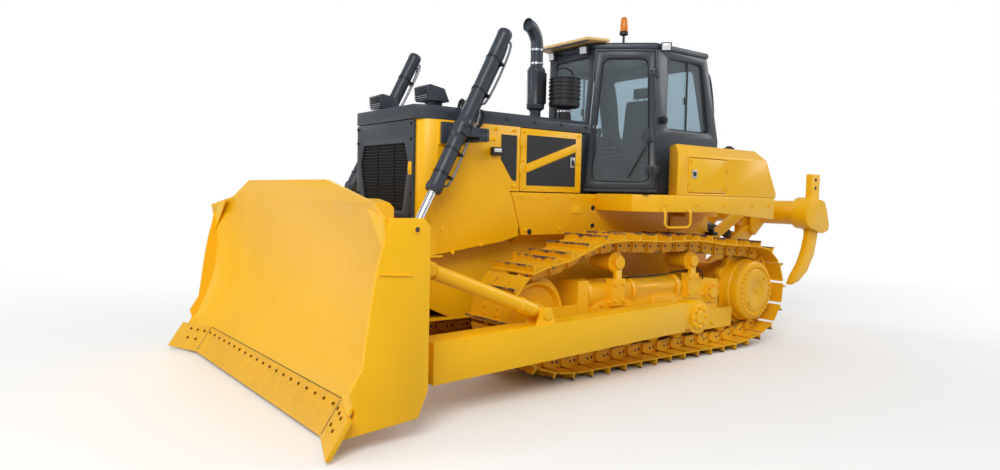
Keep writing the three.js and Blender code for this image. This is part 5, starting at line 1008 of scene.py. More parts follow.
# ---- Cab shell, doors and glass ----
# Rolled steel posts welded to a folded floor and finished in satin slate enamel. The tinted
# panes sit in moulded rubber, and each door hangs on two bolted hinge straps.
plate_shell("cab_shell", slate_enamel, 0.01)
for side in ("left", "right"):
    plate_shell(side + "_cab_door", slate_enamel, 0.008)


def tinted(name, colour):
    """Float glass, faintly green-grey, with a thin film of dust."""
    material, tree = new_material(name)
    place = add_node(tree, "ShaderNodeTexCoord").outputs["Object"]
    film = add_node(tree, "ShaderNodeTexNoise", {"Vector": place, "Scale": 3.0, "Detail": 6.0})
    rough = add_node(tree, "ShaderNodeMapRange", {"Value": film, "From Min": 0.4, "From Max": 0.8, "To Min": 0.01,
        "To Max": 0.08})
    tone = add_node(tree, "ShaderNodeMapRange", {"Value": film, "To Min": 0.92, "To Max": 1.08})
    shade = add_node(tree, "ShaderNodeHueSaturation", {"Color": linear(colour), "Value": tone})
    add_node(tree, "ShaderNodeOutputMaterial",
        {"Surface": add_node(tree, "ShaderNodeBsdfPrincipled",
        {"Base Color": shade, "Roughness": rough, "IOR": 1.45, "Transmission Weight": 0.92})})
    return material


cab_glass = tinted("tinted float glass", "#c6d6de")
for pane in ("windscreen", "rear_window", "left_door_glass", "right_door_glass", "left_side_window",
        "right_side_window"):
    frame["nodes"][pane].material_slots[0].material = cab_glass


def pane_seal(pane, inward, radius=0.013, rim=0.004):
    """A rubber bead along the outline of a pane, on the face that looks out."""
    shape = merged_copy(pane)
    faces = sorted(shape.faces, key=lambda f: f.calc_area())[-2:]
    outer = min(faces, key=lambda f: f.normal.dot(inward))
    middle = outer.calc_center_median()
    ring = [v.co.copy() for v in outer.verts]
    ring = [p + (middle - p).normalized() * rim + outer.normal * 0.004 for p in ring]
    shape.free()
    return pipe([*ring, ring[0]], radius, 8)


seals = {"windscreen": Vector((-1, 0, 0)), "rear_window": Vector((1, 0, 0)), "left_door_glass": Vector((0, -1, 0)),
    "right_door_glass": Vector((0, 1, 0)), "left_side_window": Vector((0, -1, 0)),
    "right_side_window": Vector((0, 1, 0))}
for pane, inward in seals.items():
    finished(pane + "_seal", pane_seal(pane, inward), black_rubber, node_body(pane))

DOOR_FOOT = Vector((-0.552, 0.822, 0.0))
DOOR_ALONG = Vector((0.537, -0.542, 0.0)).normalized()
DOOR_OUT = Vector((-DOOR_ALONG.y, DOOR_ALONG.x, 0.0))


def at_door(sign, run, height, out):
    """A point on the door plane: along the sill from the rear post, up, and out of the face."""
    place = DOOR_FOOT + DOOR_ALONG * run + DOOR_OUT * out
    return Vector((place.x, sign * place.y, height))


for side, sign in SIDES:
    body = side + "_door"
    way = tuple(at_door(sign, 0, 0, 1) - at_door(sign, 0, 0, 0))
    pull = pipe([at_door(sign, 0.655, 2.42, 0.014), at_door(sign, 0.655, 2.42, 0.055), at_door(sign, 0.655, 2.2, 0.06),
        at_door(sign, 0.65, 2.06, 0.055), at_door(sign, 0.65, 2.06, 0.014)], 0.012, 8)
    finished(side + "_door_pull", pull, black_plastic, body)
    lock = joined([post(at_door(sign, 0.652, 2.335, 0.013), at_door(sign, 0.652, 2.335, 0.03), 0.024, 0.003, 20),
        post(at_door(sign, 0.652, 2.335, 0.029), at_door(sign, 0.652, 2.335, 0.033), 0.014, 0.001, 16)])
    finished(side + "_door_lock", lock, zinc_steel, body)
    straps = [(at_door(sign, run, z, 0.02), way) for z in (1.88, 1.92, 2.88, 2.92) for run in (0.055, 0.095)]
    bolts(side + "_hinge_bolts", straps, black_enamel, (0.016, 0.008, 0.012), body)
    arm = pipe([at_door(sign, 0.085, 2.21, 0.036), at_door(sign, 0.16, 2.08, 0.038),
        at_door(sign, 0.215, 1.975, 0.026)], 0.006, 8)
    blade = pipe([at_door(sign, 0.135, 2.12, 0.022), at_door(sign, 0.295, 1.825, 0.02)], 0.008, 8)
    hub = post(at_door(sign, 0.085, 2.21, 0.01), at_door(sign, 0.085, 2.21, 0.042), 0.024, 0.004, 20)
    finished(side + "_door_latch_boss", post(at_door(sign, 0.088, 2.25, 0.0005), at_door(sign, 0.088, 2.25, 0.012),
        0.08, 0.004, 40), slate_enamel, body)
    finished(side + "_door_wiper", joined([arm, blade, hub]), black_plastic, body)

# fittings on the cab sides: hold-open catch, window divider, window catch and floor bolts
for side, sign in SIDES:
    catch = joined([pin(-0.61, 2.42, sign * 0.815, sign * 0.862, 0.04, 0.006, 24),
        pin(-0.61, 2.42, sign * 0.861, sign * 0.87, 0.022, 0.003, 20)])
    finished(side + "_door_catch", catch, black_rubber)
    post_y = sign * 0.797
    divider = block((-1.035, post_y, 2.345), (-1.01, sign * 0.785, 3.065), 0.004)
    finished(side + "_window_divider", divider, black_rubber)
    finished(side + "_window_catch", block((-1.008, post_y, 2.62), (-0.985, sign * 0.783, 2.7), 0.003), black_plastic)
    spots = side_spots([(x, 1.705) for x in (-0.7, -0.95, -1.2, -1.43)], sign * 0.818, sign)
    bolts(side + "_cab_bolts", spots, black_enamel, (0.02, 0.01, 0.016))

# ---- Roof with visor, lights and beacon ----
# Pressed slate roof plate with a pale yellow visor in front and a pale cover behind. Square
# work lights stand on brackets, and an amber beacon stands in its dome on a stalk.
cream_enamel = painted("pale yellow roof enamel", "#eec98a", "#c8b287", 0.2, 0.5, 0.05)
amber_lens = moulded("moulded amber acrylic", "cab_glass", "#f08a1c", 0.15, 120, 0.3, Transmission_Weight=0.35)
CAB_TOP = 3.1504
ROOF_RING = [(-0.066, 0.353), (-0.512, 0.804), (-1.349, 0.814)]


def roof_cap():
    shape = bmesh.new()
    rings = []
    for z, shrink, sink in ((CAB_TOP, 1.0, 0.0), (3.19, 1.0, 0.0), (3.205, 0.985, 0.004), (3.212, 0.955, 0.012)):
        half = [(x * (1 if shrink == 1 else 0.993) - sink, y * shrink) for x, y in ROOF_RING]
        ring = [*half, *[(x, -y) for x, y in half[::-1]]]
        rings.append([shape.verts.new((x, y, z)) for x, y in ring])
    skin(shape, *rings)
    return to_mesh(shape, "roof_cap")


cap = rounded(roof_cap(), 0.006)
visor_arms = [slab((-0.14, y - 0.02, 3.18), (-0.06, y + 0.02, 3.215)) for y in (-0.28, 0.0, 0.28)]
made = finished("roof_plate", joined([cap, *visor_arms]), slate_enamel)
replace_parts(made, "cab_roof")
visor = rounded(prism([(0.092, -0.4), (0.092, 0.4), (-0.165, 0.47), (-0.165, -0.47)], "z", 3.212, 3.246), 0.012, 3)
finished("roof_visor", visor, cream_enamel)
finished("visor_lip", block((0.07, -0.385, 3.2), (0.088, 0.385, 3.214), 0.004), slate_enamel)
cover = rounded(prism([(-1.0, -0.6), (-1.0, 0.6), (-1.335, 0.66), (-1.335, -0.66)], "z", 3.211, 3.226), 0.006, 3)
finished("rear_roof_cover", cover, cream_enamel)


def work_light(name, place, way, bracket_to):
    """A square lamp: moulded case, clear lens and a bent steel bracket."""
    place, way = Vector(place), Vector(way).normalized()
    level = Vector((0, 0, 1)).cross(way).normalized()
    turn = Matrix.Translation(place) @ Matrix((way, level, way.cross(level))).transposed().to_4x4()
    case = block((-0.05, -0.054, -0.046), (0.004, 0.054, 0.046), 0.012, 3)
    lens = block((-0.004, -0.044, -0.036), (0.0065, 0.044, 0.036), 0.005)
    case.transform(turn)
    lens.transform(turn)
    finished(name + "_case", case, black_plastic)
    finished(name + "_lens", lens, lamp_glass)
    stem = pipe([place - way * 0.03, (Vector(place) - way * 0.03 + Vector(bracket_to)) / 2, bracket_to], 0.008, 8)
    finished(name + "_bracket", stem, black_enamel)


LIGHTS = (("front", (0.01, 0.25, 3.135), (1, 0.12, -0.16), (-0.085, 0.245, 3.175)),
    ("side", (-0.56, 0.88, 3.16), (0.75, 0.66, -0.05), (-0.58, 0.79, 3.175)),
    ("rear", (-1.435, 0.56, 3.1), (-1, 0.1, -0.25), (-1.345, 0.555, 3.165)))
for name, *spots in LIGHTS:
    for side, sign in SIDES:
        work_light(name + "_" + side + "_light", *[(x, sign * y, z) for x, y, z in spots])
stalk = upright(-0.435, 0.4, 3.205, 3.332, 0.013, 0.002, 16)
base = stood(-0.435, 0.4, 3.33, [(0, 0.0), (0, 0.03), (0.006, 0.046), (0.036, 0.046), (0.042, 0.04), (0.042, 0.0)])
finished("beacon_base", joined([stalk, base]), black_plastic)
dome = stood(-0.435, 0.4, 3.3725, [(0, 0.0), (0, 0.041), (0.012, 0.043), (0.1, 0.038), (0.13, 0.033), (0.148, 0.02),
    (0.154, 0.0)])
finished("beacon_dome", dome, amber_lens)
ring = pipe([(-0.75 + 0.035 * cos(a), 0.3, 3.247 + 0.035 * sin(a)) for a in (pi * i / 9 for i in range(-2, 12))],
    0.008, 8)
finished("roof_lifting_ring", ring, slate_enamel)
for side, sign in SIDES:
    rail = pipe([(-1.4, sign * 0.7, 3.02), (-1.47, sign * 0.71, 3.02), (-1.5, sign * 0.72, 2.98),
        (-1.585, sign * 0.73, 2.45), (-1.56, sign * 0.73, 2.4), (-1.5, sign * 0.72, 2.4)], 0.013, 10, 1)
    finished(side + "_grab_rail", rail, black_enamel)
antenna = joined([upright(-0.95, -0.45, 3.2115, 3.232, 0.022, 0.003, 20),
    upright(-0.95, -0.45, 3.23, 3.5, 0.003, 0.001, 8)])
finished("roof_antenna", antenna, black_plastic)

# ---- Operator's seat and control console ----
# A sprung seat: cushions of moulded foam under a woven black cloth with piped seams, on a
# steel box. The console is moulded plastic with a blank screen and two short levers.


def woven(name, colour):
    """Woven seat cloth: threads drawn 4 mm apart, coarser than real so that they show."""
    material, tree = new_material(name)
    place = add_node(tree, "ShaderNodeTexCoord").outputs["Object"]
    warp = add_node(tree, "ShaderNodeTexWave", {"Vector": place, "Scale": 80.0}, bands_direction="Y")
    weft = add_node(tree, "ShaderNodeTexWave", {"Vector": place, "Scale": 80.0}, bands_direction="DIAGONAL")
    weave = add_node(tree, "ShaderNodeMath", {0: warp.outputs["Fac"], 1: weft.outputs["Fac"]}, operation="MULTIPLY")
    tone = add_node(tree, "ShaderNodeMapRange", {"Value": weave, "To Min": 0.7, "To Max": 1.4})
    shade = add_node(tree, "ShaderNodeHueSaturation", {"Color": linear(colour), "Value": tone})
    bump = add_node(tree, "ShaderNodeBump", {"Height": weave, "Strength": 0.5, "Distance": 0.001})
    add_node(tree, "ShaderNodeOutputMaterial",
        {"Surface": add_node(tree, "ShaderNodeBsdfPrincipled",
        {"Base Color": shade, "Roughness": 0.85, "Normal": bump, "IOR": 1.5, "Sheen Weight": 0.3})})
    return material


seat_cloth = woven("woven seat cloth", "#232428")


def cushion(low, high, crown, waist, lean=0.0):
    """A padded block: crowned faces, pulled-in sides and a sewn line round its middle."""
    low, high = Vector(low), Vector(high)
    middle, half = (low + high) / 2, (high - low) / 2
    shape = bmesh.new()
    bmesh.ops.create_cube(shape, size=2.0)
    bmesh.ops.subdivide_edges(shape, edges=shape.edges, cuts=7, use_grid_fill=True)
    thin = min(range(3), key=lambda axis: half[axis])
    wide = [axis for axis in range(3) if axis != thin]
    for vert in shape.verts:
        a, b, t = vert.co[wide[0]], vert.co[wide[1]], vert.co[thin]
        swell = (1 - a * a) * (1 - b * b)
        corner = (abs(a) ** 6 + abs(b) ** 6) / 2
        scale = [1.0, 1.0, 1.0]
        scale[thin] = 1.0 - 0.32 * corner + crown * swell
        scale[wide[0]] = 1.0 - waist * (1 - b * b) - 0.1 * t * t
        scale[wide[1]] = 1.0 - waist * (1 - a * a) - 0.1 * t * t
        channel = 0.05 * exp(-((abs(a) - 0.62) / 0.06) ** 2) if abs(t) > 0.9 else 0.0
        scale[thin] -= channel
        vert.co = Vector([vert.co[i] * half[i] * scale[i] for i in range(3)]) + middle
    for vert in shape.verts:
        vert.co.x += lean * (vert.co.z - low.z)
    bmesh.ops.recalc_face_normals(shape, faces=shape.faces)
    holder = held(to_mesh(shape, "cushion"))
    soft = holder.modifiers.new("soft", "SUBSURF")
    soft.levels = 1
    soft.render_levels = 1
    return settled(holder)


pads = [finished("seat_" + name + "_pad", cushion(low, high, 0.05, 0.03, lean), seat_cloth, smooth=60) for name, low,
    high, lean in (("base", (-1.075, -0.25, 2.075), (-0.57, 0.25, 2.175), 0.0),
    ("back", (-1.165, -0.23, 2.19), (-1.085, 0.23, 2.76), -0.13),
    ("head", (-1.235, -0.13, 2.772), (-1.175, 0.13, 2.9), 0.0))]
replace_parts(pads[0], "operator_seat")
seat_frame = joined([block((-1.05, -0.175, 1.706), (-0.71, 0.175, 1.8), 0.01),
    block((-1.03, -0.15, 1.8), (-0.73, 0.15, 2.0), 0.012), block((-1.07, -0.23, 2.0), (-0.6, 0.23, 2.07), 0.012),
    post((-1.18, -0.05, 2.74), (-1.205, -0.05, 2.8), 0.007, 0.001, 10),
    post((-1.18, 0.05, 2.74), (-1.205, 0.05, 2.8), 0.007, 0.001, 10)])
finished("seat_suspension_box", seat_frame, black_plastic)
rests = []
for sign in (1, -1):
    rests.append(block((-1.03, sign * 0.262, 2.27), (-0.69, sign * 0.318, 2.325), 0.018, 3))
    rests.append(block((-1.0, sign * 0.268, 2.06), (-0.93, sign * 0.312, 2.28), 0.01))
    rests.append(post((-0.735, sign * 0.29, 2.32), (-0.725, sign * 0.29, 2.43), 0.01, 0.002, 14))
    rests.append(turned((-0.725, sign * 0.29, 2.42), (-0.718, sign * 0.29, 2.52),
        [(0, 0.0), (0, 0.016), (0.025, 0.025), (0.055, 0.026), (0.075, 0.016), (0.08, 0.0)], 20))
finished("seat_arm_rests", joined(rests), black_plastic)
plate_shell("control_console", black_plastic, 0.02, 3)
screen = rounded(prism([(-0.198, 2.424), (-0.094, 2.34), (-0.09, 2.346), (-0.193, 2.43)], "y", -0.115, 0.115), 0.002)
finished("console_screen", screen, lamp_glass)
lever_post = post((-0.3, 0.18, 1.71), (-0.33, 0.18, 2.28), 0.02, 0.003, 16)
knob = [(0, 0.0), (0, 0.018), (0.03, 0.028), (0.07, 0.026), (0.09, 0.0)]
lever = joined([lever_post, turned((-0.33, 0.18, 2.27), (-0.335, 0.18, 2.37), knob, 20)])
finished("console_lever_post", lever, black_plastic)
pedals = [block((-0.2, y - 0.045, 1.78), (-0.17, y + 0.045, 1.92), 0.006) for y in (-0.22, 0.22)]
finished("floor_pedals", joined(pedals), black_rubber)

# ---- Blade: curved moldboard, ribs, side plates and cutting edge ----
# The moldboard is rolled plate welded to boxes behind it, with a gusset in each upper corner.
# Three bolt-on edges and two end bits of hard steel close its lower lip.
plate_shell("blade", yellow_enamel, 0.005)
edge_enamel = painted("chrome yellow enamel on hard steel", "#f4b500", "#a98a55", 0.45, 0.42, 0.1,
    0.15)
plate_shell("cutting_edge", edge_enamel, 0.004)
EDGE_TIP_X, EDGE_TIP_Z = 3.415, 0.026
SEAM_X, SEAM_Z = 3.269, 0.25
FLAT_HALF, WING_TAN = 1.47, tan(radians(20))
edge_run = Vector((SEAM_X - EDGE_TIP_X, 0, SEAM_Z - EDGE_TIP_Z))
edge_length = edge_run.length
edge_run.normalize()
edge_out = Vector((edge_run.z, 0, -edge_run.x))


def on_edge(up, y, out=0.0):
    """A point on the front of the cutting edge: up from its tip, across, and out of its face."""
    place = Vector((EDGE_TIP_X, 0, EDGE_TIP_Z)) + edge_run * up + edge_out * out
    return (place.x + max(0.0, abs(y) - FLAT_HALF) * WING_TAN, y, place.z)


plow_steel = metal("forged plow bolt, painted over and worn", "#7d5a1c", 0.5, 30)
edge_spots = [(on_edge(edge_length - 0.052, y), edge_out) for y in (-1.41 + 2.82 * i / 19 for i in range(20))]
bolts("edge_bolts", edge_spots, plow_steel, (0.02, 0.004, 0.012), "blade_assembly")
bit_spots = []
for sign in (1, -1):
    out = Vector((edge_out.x, -sign * WING_TAN * edge_out.x, edge_out.z)).normalized()
    bit_spots += [(on_edge(up, sign * y), out) for y, up in ((1.53, 0.215), (1.63, 0.215), (1.73, 0.215), (1.58, 0.12),
        (1.7, 0.12))]
bolts("bit_bolts", bit_spots, plow_steel, (0.022, 0.004, 0.013), "blade_assembly")
# a thin dark line along the top of the cutting edge: painted shadow of the gap where it meets the moldboard
shadow_gap_line = pipe([on_edge(edge_length + 0.002, y, 0.0005) for y in (-1.468, 0.0, 1.468)], 0.003, 8)
finished("edge_joint", shadow_gap_line, dark_steel_and_painted_shade, "blade_assembly")
for side, sign in SIDES:
    inner_face = sign * 1.7995
    gusset = bmesh.new()
    rear = [(3.11, sign * 1.52, 1.5), (3.128, inner_face, 1.436), (3.128, inner_face, 1.2)]
    front = [(x + 0.014, y - sign * 0.004, z + 0.002) for x, y, z in rear]
    skin(gusset, *[[gusset.verts.new(p) for p in ring] for ring in (rear, front)])
    plate_y = sign * 1.8302
    bar = rounded(prism([(2.96, 1.073), (3.198, 1.091), (3.198, 1.106), (2.96, 1.088)], "y", plate_y - sign * 0.002,
        plate_y + sign * 0.01), 0.004)
    hole_rim = turned((2.93, plate_y - sign * 0.001, 1.372), (2.93, plate_y + sign, 1.372),
        [(0, 0.018), (0, 0.03), (0.004, 0.03), (0.006, 0.027), (0.006, 0.018), (0, 0.018)], 28)
    finished(side + "_blade_side_fittings", joined([bar, hole_rim]), yellow_enamel, "blade_assembly")
    # a dark disc inside the rim fills the hole: painted shade of its depth
    finished(side + "_blade_side_hole", pin(2.93, 1.372, plate_y - sign * 0.0005, plate_y + sign * 0.0015, 0.0182,
        0.0005, 24), dark_steel_and_painted_shade, "blade_assembly")
    finished(side + "_corner_gusset", to_mesh(gusset, "gusset"), yellow_enamel, "blade_assembly")
    # a thin dark line where the end bit meets the cutting edge: painted shadow of the gap
    bit_shadow_gap = pipe([on_edge(up, sign * FLAT_HALF, 0.001) for up in (0.015, edge_length - 0.01)], 0.003, 8)
    finished(side + "_bit_joint", bit_shadow_gap, dark_steel_and_painted_shade, "blade_assembly")

# ---- Push arms, brace and tilt cylinder ----
# Welded box beams with a ball socket behind and a pinned tongue in front. A round brace on
# the left and the tilt cylinder on the right hold the blade upright.
ARM_MIDDLE = 1.48
BALL_X, BALL_Z = -0.34, 0.49
for side, sign in SIDES:
    plate_shell(side + "_push_arm", yellow_enamel, 0.01)
    arm_face = sign * 1.5922
    cap = joined([pin(BALL_X, BALL_Z, sign * 1.56, sign * 1.578, 0.118, 0.006, 40),
        pin(BALL_X, BALL_Z, sign * 1.577, sign * 1.592, 0.06, 0.006, 32)])
    finished(side + "_socket_cap", cap, yellow_enamel, "blade_assembly")
    spots = side_spots([(BALL_X + u, BALL_Z + v) for u, v in around(8, 0.092)], sign * 1.578, sign)
    bolts(side + "_socket_bolts", spots, yellow_enamel, (0.026, 0.012, 0.019), "blade_assembly")
    pins = []
    for x, z, y, radius in ((2.745, 0.42, 1.564, 0.055), (1.565, 0.675, 1.554, 0.042), (2.66, 1.08, 1.554, 0.042)):
        for end in (1, -1):
            low = ARM_MIDDLE + end * (y - ARM_MIDDLE)
            pins.append(pin(x, z, sign * low, sign * (low + end * 0.014), radius, 0.004, 28))
    finished(side + "_arm_pin_heads", joined(pins), yellow_enamel, "blade_assembly")
    weld = block((2.354, arm_face - sign * 0.003, 0.29), (2.366, arm_face + sign * 0.002, 0.565), 0.001, 1)
    finished(side + "_arm_weld", weld, yellow_enamel, "blade_assembly")

# A profile starts at the arm end of the brace and runs to its blade end.
BRACE_ARM = Vector((1.565, 0, 0.675))
BRACE_TOP = Vector((2.66, 0, 1.08))
brace_way = (BRACE_TOP - BRACE_ARM).normalized()
BRACE_LENGTH = (BRACE_TOP - BRACE_ARM).length


def brace_end(sign, place, radius=0.054):
    return pin(place.x, place.z, sign * 1.434, sign * 1.526, radius, 0.005, 32)


def brace_piece(sign, profile, sides=36):
    start = Vector((BRACE_ARM.x, sign * ARM_MIDDLE, BRACE_ARM.z))
    return turned(start, start + brace_way, profile, sides)


tube = brace_piece(1, [(0.04, 0.034), (0.08, 0.036), (0.09, 0.05), (0.096, 0.056), (0.205, 0.056), (0.21, 0.062),
    (0.25, 0.062), (0.255, 0.056), (BRACE_LENGTH - 0.086, 0.056), (BRACE_LENGTH - 0.08, 0.05),
    (BRACE_LENGTH - 0.074, 0.036), (BRACE_LENGTH - 0.04, 0.034)])
brace = finished("left_brace_tube", joined([tube, brace_end(1, BRACE_ARM), brace_end(1, BRACE_TOP)]), yellow_enamel,
    "blade_assembly")
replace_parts(brace, "left_blade_brace")
tilt = brace_piece(-1, [(0.04, 0.034), (0.08, 0.04), (0.09, 0.076), (0.096, 0.082), (0.74, 0.082), (0.746, 0.088),
    (0.79, 0.088), (0.796, 0.08), (0.832, 0.08), (0.838, 0.05), (0.842, 0.04)])
barrel = finished("right_tilt_barrel", joined([tilt, brace_end(-1, BRACE_ARM)]), slate_enamel, "blade_assembly")
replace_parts(barrel, "right_tilt_cylinder")
rod = brace_piece(-1, [(0.838, 0.0), (0.838, 0.036), (BRACE_LENGTH - 0.052, 0.036), (BRACE_LENGTH - 0.046, 0.03)])
finished("right_tilt_rod", joined([rod, brace_end(-1, BRACE_TOP)]), hard_chrome, "blade_assembly")

# ---- Blade lift cylinders with their yokes, lines and hoses ----
# Drawn steel barrels hang in bolted cast yokes on the guard. Chromed rods run to the blade,
# bent steel lines are clamped along the barrels and short hoses feed them from the hood.
LIFT_MIDDLE = 0.76
LIFT_TOP = Vector((1.884, 0, 2.139))
LIFT_EYE = Vector((2.64, 0, 0.673))
lift_way = (LIFT_EYE - LIFT_TOP).normalized()
LIFT_REACH = (LIFT_EYE - LIFT_TOP).length
lift_side = Vector((-lift_way.z, 0, lift_way.x))
BARREL = [(-1.0, 0.0), (-1.0, 0.05), (-0.992, 0.06), (-0.975, 0.066), (-0.94, 0.066), (-0.934, 0.064), (-0.12, 0.064),
    (-0.06, 0.07), (-0.05, 0.078), (0.05, 0.078), (0.06, 0.07), (0.12, 0.064), (0.515, 0.064), (0.521, 0.072),
    (0.56, 0.072), (0.566, 0.068), (0.58, 0.066), (0.585, 0.06), (0.585, 0.0365), (0.535, 0.0365)]
line_steel = metal("plated steel line", "#6d7278", 0.38, 3.0)


def lift_at(sign, run, out=0.0, over=0.0):
    """A point by the lift cylinder: along it from the trunnion, out in its plane, and sideways."""
    place = LIFT_TOP + lift_way * run + lift_side * out
    return Vector((place.x, sign * (LIFT_MIDDLE + over), place.z))


for side, sign in SIDES:
    plate_shell(side + "_cylinder_yoke", slate_enamel, 0.006)
    start = lift_at(sign, 0)
    inner_wall = [(0.535, 0.051), (-0.976, 0.051), (-0.976, 0.0)]
    barrel = turned(start, start + lift_way, BARREL + inner_wall, 40)
    trunnions = post(lift_at(sign, 0, 0, -0.106), lift_at(sign, 0, 0, 0.106), 0.0335, 0.003, 28)
    made = finished(side + "_lift_barrel_tube", joined([barrel, trunnions]), slate_enamel, side + "_lift_barrel")
    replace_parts(made, side + "_lift_cylinder")
    routes = [(0.026, [(0.5, -0.062), (0.48, -0.092), (-0.02, -0.095), (-0.2, -0.088), (-0.24, -0.062)]),
        (-0.026, [(-0.93, -0.062), (-0.9, -0.086), (-0.1, -0.092), (-0.04, -0.105)]),
        (0.026, [(-0.93, -0.062), (-0.9, -0.09), (-0.32, -0.09), (-0.29, -0.062)])]
    lines = [pipe([lift_at(sign, run, out, over) for run, out in route], 0.0105, 8, 1) for over, route in routes]
    finished(side + "_lift_lines", joined(lines), line_steel, side + "_lift_barrel")
    clips = []
    for run in (-0.72, -0.4, 0.18, 0.4):
        clips.append(turned(lift_at(sign, run), lift_at(sign, run) + lift_way,
            [(0, 0.0642), (0.001, 0.068), (0.021, 0.068), (0.022, 0.0642), (0, 0.0642)], 32))
        saddle = slab((-0.011, -0.045, -0.018), (0.011, 0.045, 0.018))
        turn = Matrix((lift_way, Vector((0, 1, 0)), lift_way.cross(Vector((0, 1, 0))))).transposed().to_4x4()
        saddle.transform(Matrix.Translation(lift_at(sign, run + 0.011, -0.082)) @ turn)
        clips.append(rounded(saddle, 0.004))
    finished(side + "_lift_clamps", joined(clips), black_enamel, side + "_lift_barrel")
    route = ((-0.06, -0.1, -0.02), (-0.16, -0.17, -0.03), (-0.27, -0.16, -0.05), (-0.25, -0.085, -0.02))
    finished(side + "_barrel_hose", pipe([lift_at(sign, *step) for step in route], 0.015, 10, 1), black_rubber,
        side + "_lift_barrel")
    deck_hoses = [pipe([(1.8 - d, sign * 0.6, 2.346), (1.79 - d, sign * 0.615, 2.4), (1.8 - d, sign * 0.662, 2.4),
        (1.81 - d, sign * 0.672, 2.32), (1.8 - d, sign * 0.668, 2.235)], 0.015, 10, 1) for d in (0.0, 0.055)]
    finished(side + "_deck_hoses", joined(deck_hoses), black_rubber)
    rod = turned(start, start + lift_way,
        [(LIFT_REACH - 1.7, 0.0), (LIFT_REACH - 1.7, 0.048), (LIFT_REACH - 1.696, 0.05), (LIFT_REACH - 1.644, 0.05),
        (LIFT_REACH - 1.64, 0.046), (LIFT_REACH - 1.638, 0.0358), (LIFT_REACH - 0.07, 0.0358),
        (LIFT_REACH - 0.064, 0.043), (LIFT_REACH - 0.034, 0.046), (LIFT_REACH - 0.034, 0.0)], 36)
    made = finished(side + "_lift_rod_bar", rod, hard_chrome, side + "_lift_piston_rod")
    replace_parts(made, side + "_lift_rod")
    eye_start = lift_at(sign, LIFT_REACH, 0, -0.035)
    eye = turned(eye_start, eye_start + Vector((0, sign, 0)),
        [(0, 0.032), (0, 0.058), (0.004, 0.062), (0.066, 0.062), (0.07, 0.058), (0.07, 0.032), (0.0, 0.032)], 36)
    finished(side + "_lift_rod_eye", eye, slate_enamel, side + "_lift_piston_rod")
    bush = pin(LIFT_EYE.x, LIFT_EYE.z, sign * 0.7255, sign * 0.7945, 0.0318, 0.002, 36)
    finished(side + "_lift_eye_bush", bush, dark_steel_and_painted_shade, side + "_lift_piston_rod")
    heads = [pin(LIFT_EYE.x, LIFT_EYE.z, sign * low, sign * high, 0.044, 0.004, 28) for low,
        high in ((0.674, 0.6885), (0.8315, 0.846))]
    finished(side + "_lift_fork_pin", joined(heads), yellow_enamel, "blade_assembly")
    cap_spots = [(LIFT_TOP.x + u, LIFT_TOP.z + v) for u, v in around(4, 0.047, radians(45))]
    cap_spots += [(x, z) for x in (1.7, 1.74) for z in (2.07, 2.14)]
    bolts(side + "_yoke_bolts", side_spots(cap_spots, sign * 0.8742, sign), slate_enamel, (0.02, 0.01, 0.015))

# ---- Ripper: links, toolbar, shanks and cylinders ----
# Flame-cut link plates and a tubular toolbar with welded pockets. Each forged shank is held
# by a pin and carries a cast tooth cap; two small cylinders lift the whole bar.
for side in ("left", "right"):
    plate_shell(side + "_ripper_link", yellow_enamel, 0.005)
plate_shell("ripper_arm", yellow_enamel, 0.006)
plate_shell("ripper_beam", yellow_enamel, 0.008)
SHANK_TEETH = [(-2.848, 0.588), (-2.985, 0.628), (-3.05, 0.715), (-2.99, 0.77), (-2.925, 0.7)]
for name, y in (("left", 1.0), ("middle", 0.0), ("right", -1.0)):
    plate_shell(name + "_ripper_shank", yellow_enamel, 0.008)
    cap = rounded(prism(SHANK_TEETH, "y", y - 0.046, y + 0.046), 0.008, 2)
    finished(name + "_tooth_cap", cap, edge_enamel, "ripper_toolbar")
    # thin dark discs on both faces of each shank stand for its two spare pin holes: painted shade in the holes
    pins = [pin(-3.3, z, y - 0.0405, y - 0.0385, 0.024, 0.001, 24) for z in (1.88, 1.78)]
    pins += [pin(-3.3, z, y + 0.0385, y + 0.0405, 0.024, 0.001, 24) for z in (1.88, 1.78)]
    finished(name + "_shank_holes", joined(pins), dark_steel_and_painted_shade, "ripper_toolbar")
    lock = joined([pin(-3.33, 1.6, y - 0.108, y - 0.089, 0.036, 0.004, 28),
        pin(-3.33, 1.6, y + 0.089, y + 0.108, 0.036, 0.004, 28)])
    finished(name + "_shank_pin", lock, yellow_enamel, "ripper_toolbar")

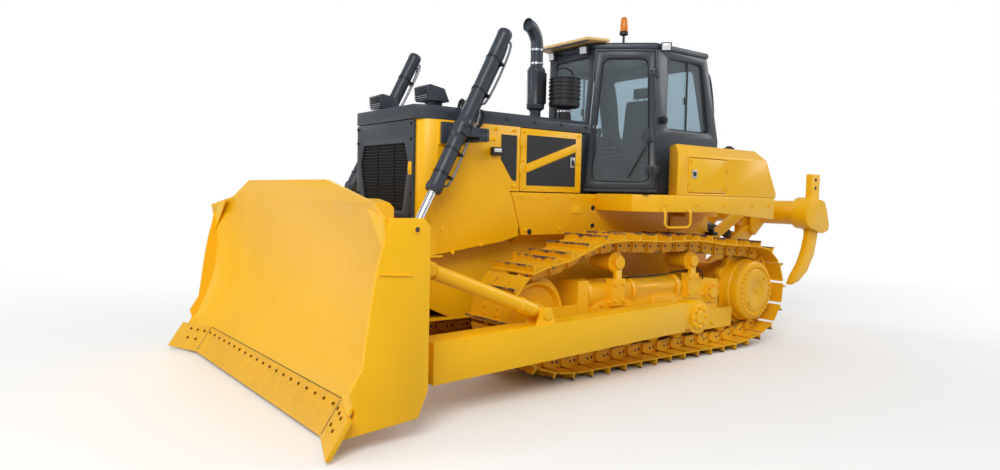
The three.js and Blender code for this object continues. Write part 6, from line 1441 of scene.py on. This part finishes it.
RIP_PLATE = 0.362
PIN_STAND = 0.0662
BRACKET_X, BEAM_X = -2.04, -2.945
RIP_BASE = Vector((BRACKET_X, 0, 1.33))
RIP_EYE = Vector((-2.803, 0, 1.156))
rip_way = (RIP_EYE - RIP_BASE).normalized()
RIP_SPAN = (RIP_EYE - RIP_BASE).length
for side, sign in SIDES:
    start = Vector((RIP_BASE.x, sign * 0.19, RIP_BASE.z))
    barrel = turned(start, start + rip_way, [(0.048, 0.0), (0.048, 0.03), (0.09, 0.03), (0.095, 0.05), (0.1, 0.056),
        (0.64, 0.056), (0.646, 0.062), (0.684, 0.062), (0.69, 0.056), (0.69, 0.0305), (0.665, 0.0305), (0.665, 0.045),
        (0.119, 0.045), (0.119, 0.0)], 32)
    eye = turned((RIP_BASE.x, sign * 0.16, RIP_BASE.z), (RIP_BASE.x, sign * 1.16, RIP_BASE.z),
        [(0, 0.0386), (0, 0.058), (0.004, 0.062), (0.056, 0.062), (0.06, 0.058), (0.06, 0.0386), (0, 0.0386)], 32)
    made = finished(side + "_ripper_barrel_tube", joined([barrel, eye]), slate_enamel, side + "_ripper_barrel")
    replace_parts(made, side + "_ripper_cylinder")
    rod = turned(start, start + rip_way,
        [(RIP_SPAN - 0.652, 0.0), (RIP_SPAN - 0.652, 0.043), (RIP_SPAN - 0.612, 0.043), (RIP_SPAN - 0.612, 0.0298),
        (RIP_SPAN - 0.035, 0.0298), (RIP_SPAN - 0.035, 0.0)], 28)
    rod_eye = turned((RIP_EYE.x, sign * 0.165, RIP_EYE.z), (RIP_EYE.x, sign * 1.165, RIP_EYE.z),
        [(0, 0.022), (0, 0.045), (0.003, 0.048), (0.047, 0.048), (0.05, 0.045), (0.05, 0.022), (0, 0.022)], 28)
    made = finished(side + "_ripper_rod_bar", rod, hard_chrome, side + "_ripper_piston_rod")
    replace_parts(made, side + "_ripper_rod")
    finished(side + "_ripper_rod_eye", rod_eye, slate_enamel, side + "_ripper_piston_rod")
    for name, body, places in (("_bracket_pin_caps", "chassis",
            ((BRACKET_X, RIP_PLATE, 0.76), (BRACKET_X, RIP_PLATE, 1.09), (BRACKET_X, 0.19, 1.33))),
            ("_toolbar_pin_caps", "ripper_toolbar", ((BEAM_X, RIP_PLATE, 1.23), (BEAM_X, RIP_PLATE, 1.56)))):
        caps = []
        for x, y, z in places:
            for end in (1, -1):
                low = sign * y + end * PIN_STAND
                caps.append(pin(x, z, low, low + end * 0.01, 0.05, 0.003, 28))
        finished(side + name, joined(caps), yellow_enamel, body)
    stop = joined([block((-2.0, sign * 0.444, 1.18), (-1.9, sign * 0.56, 1.22), 0.006),
        upright(-1.95, sign * 0.5, 1.219, 1.26, 0.035, 0.004, 24)])
    finished(side + "_rear_rubber_mount", stop, black_rubber)
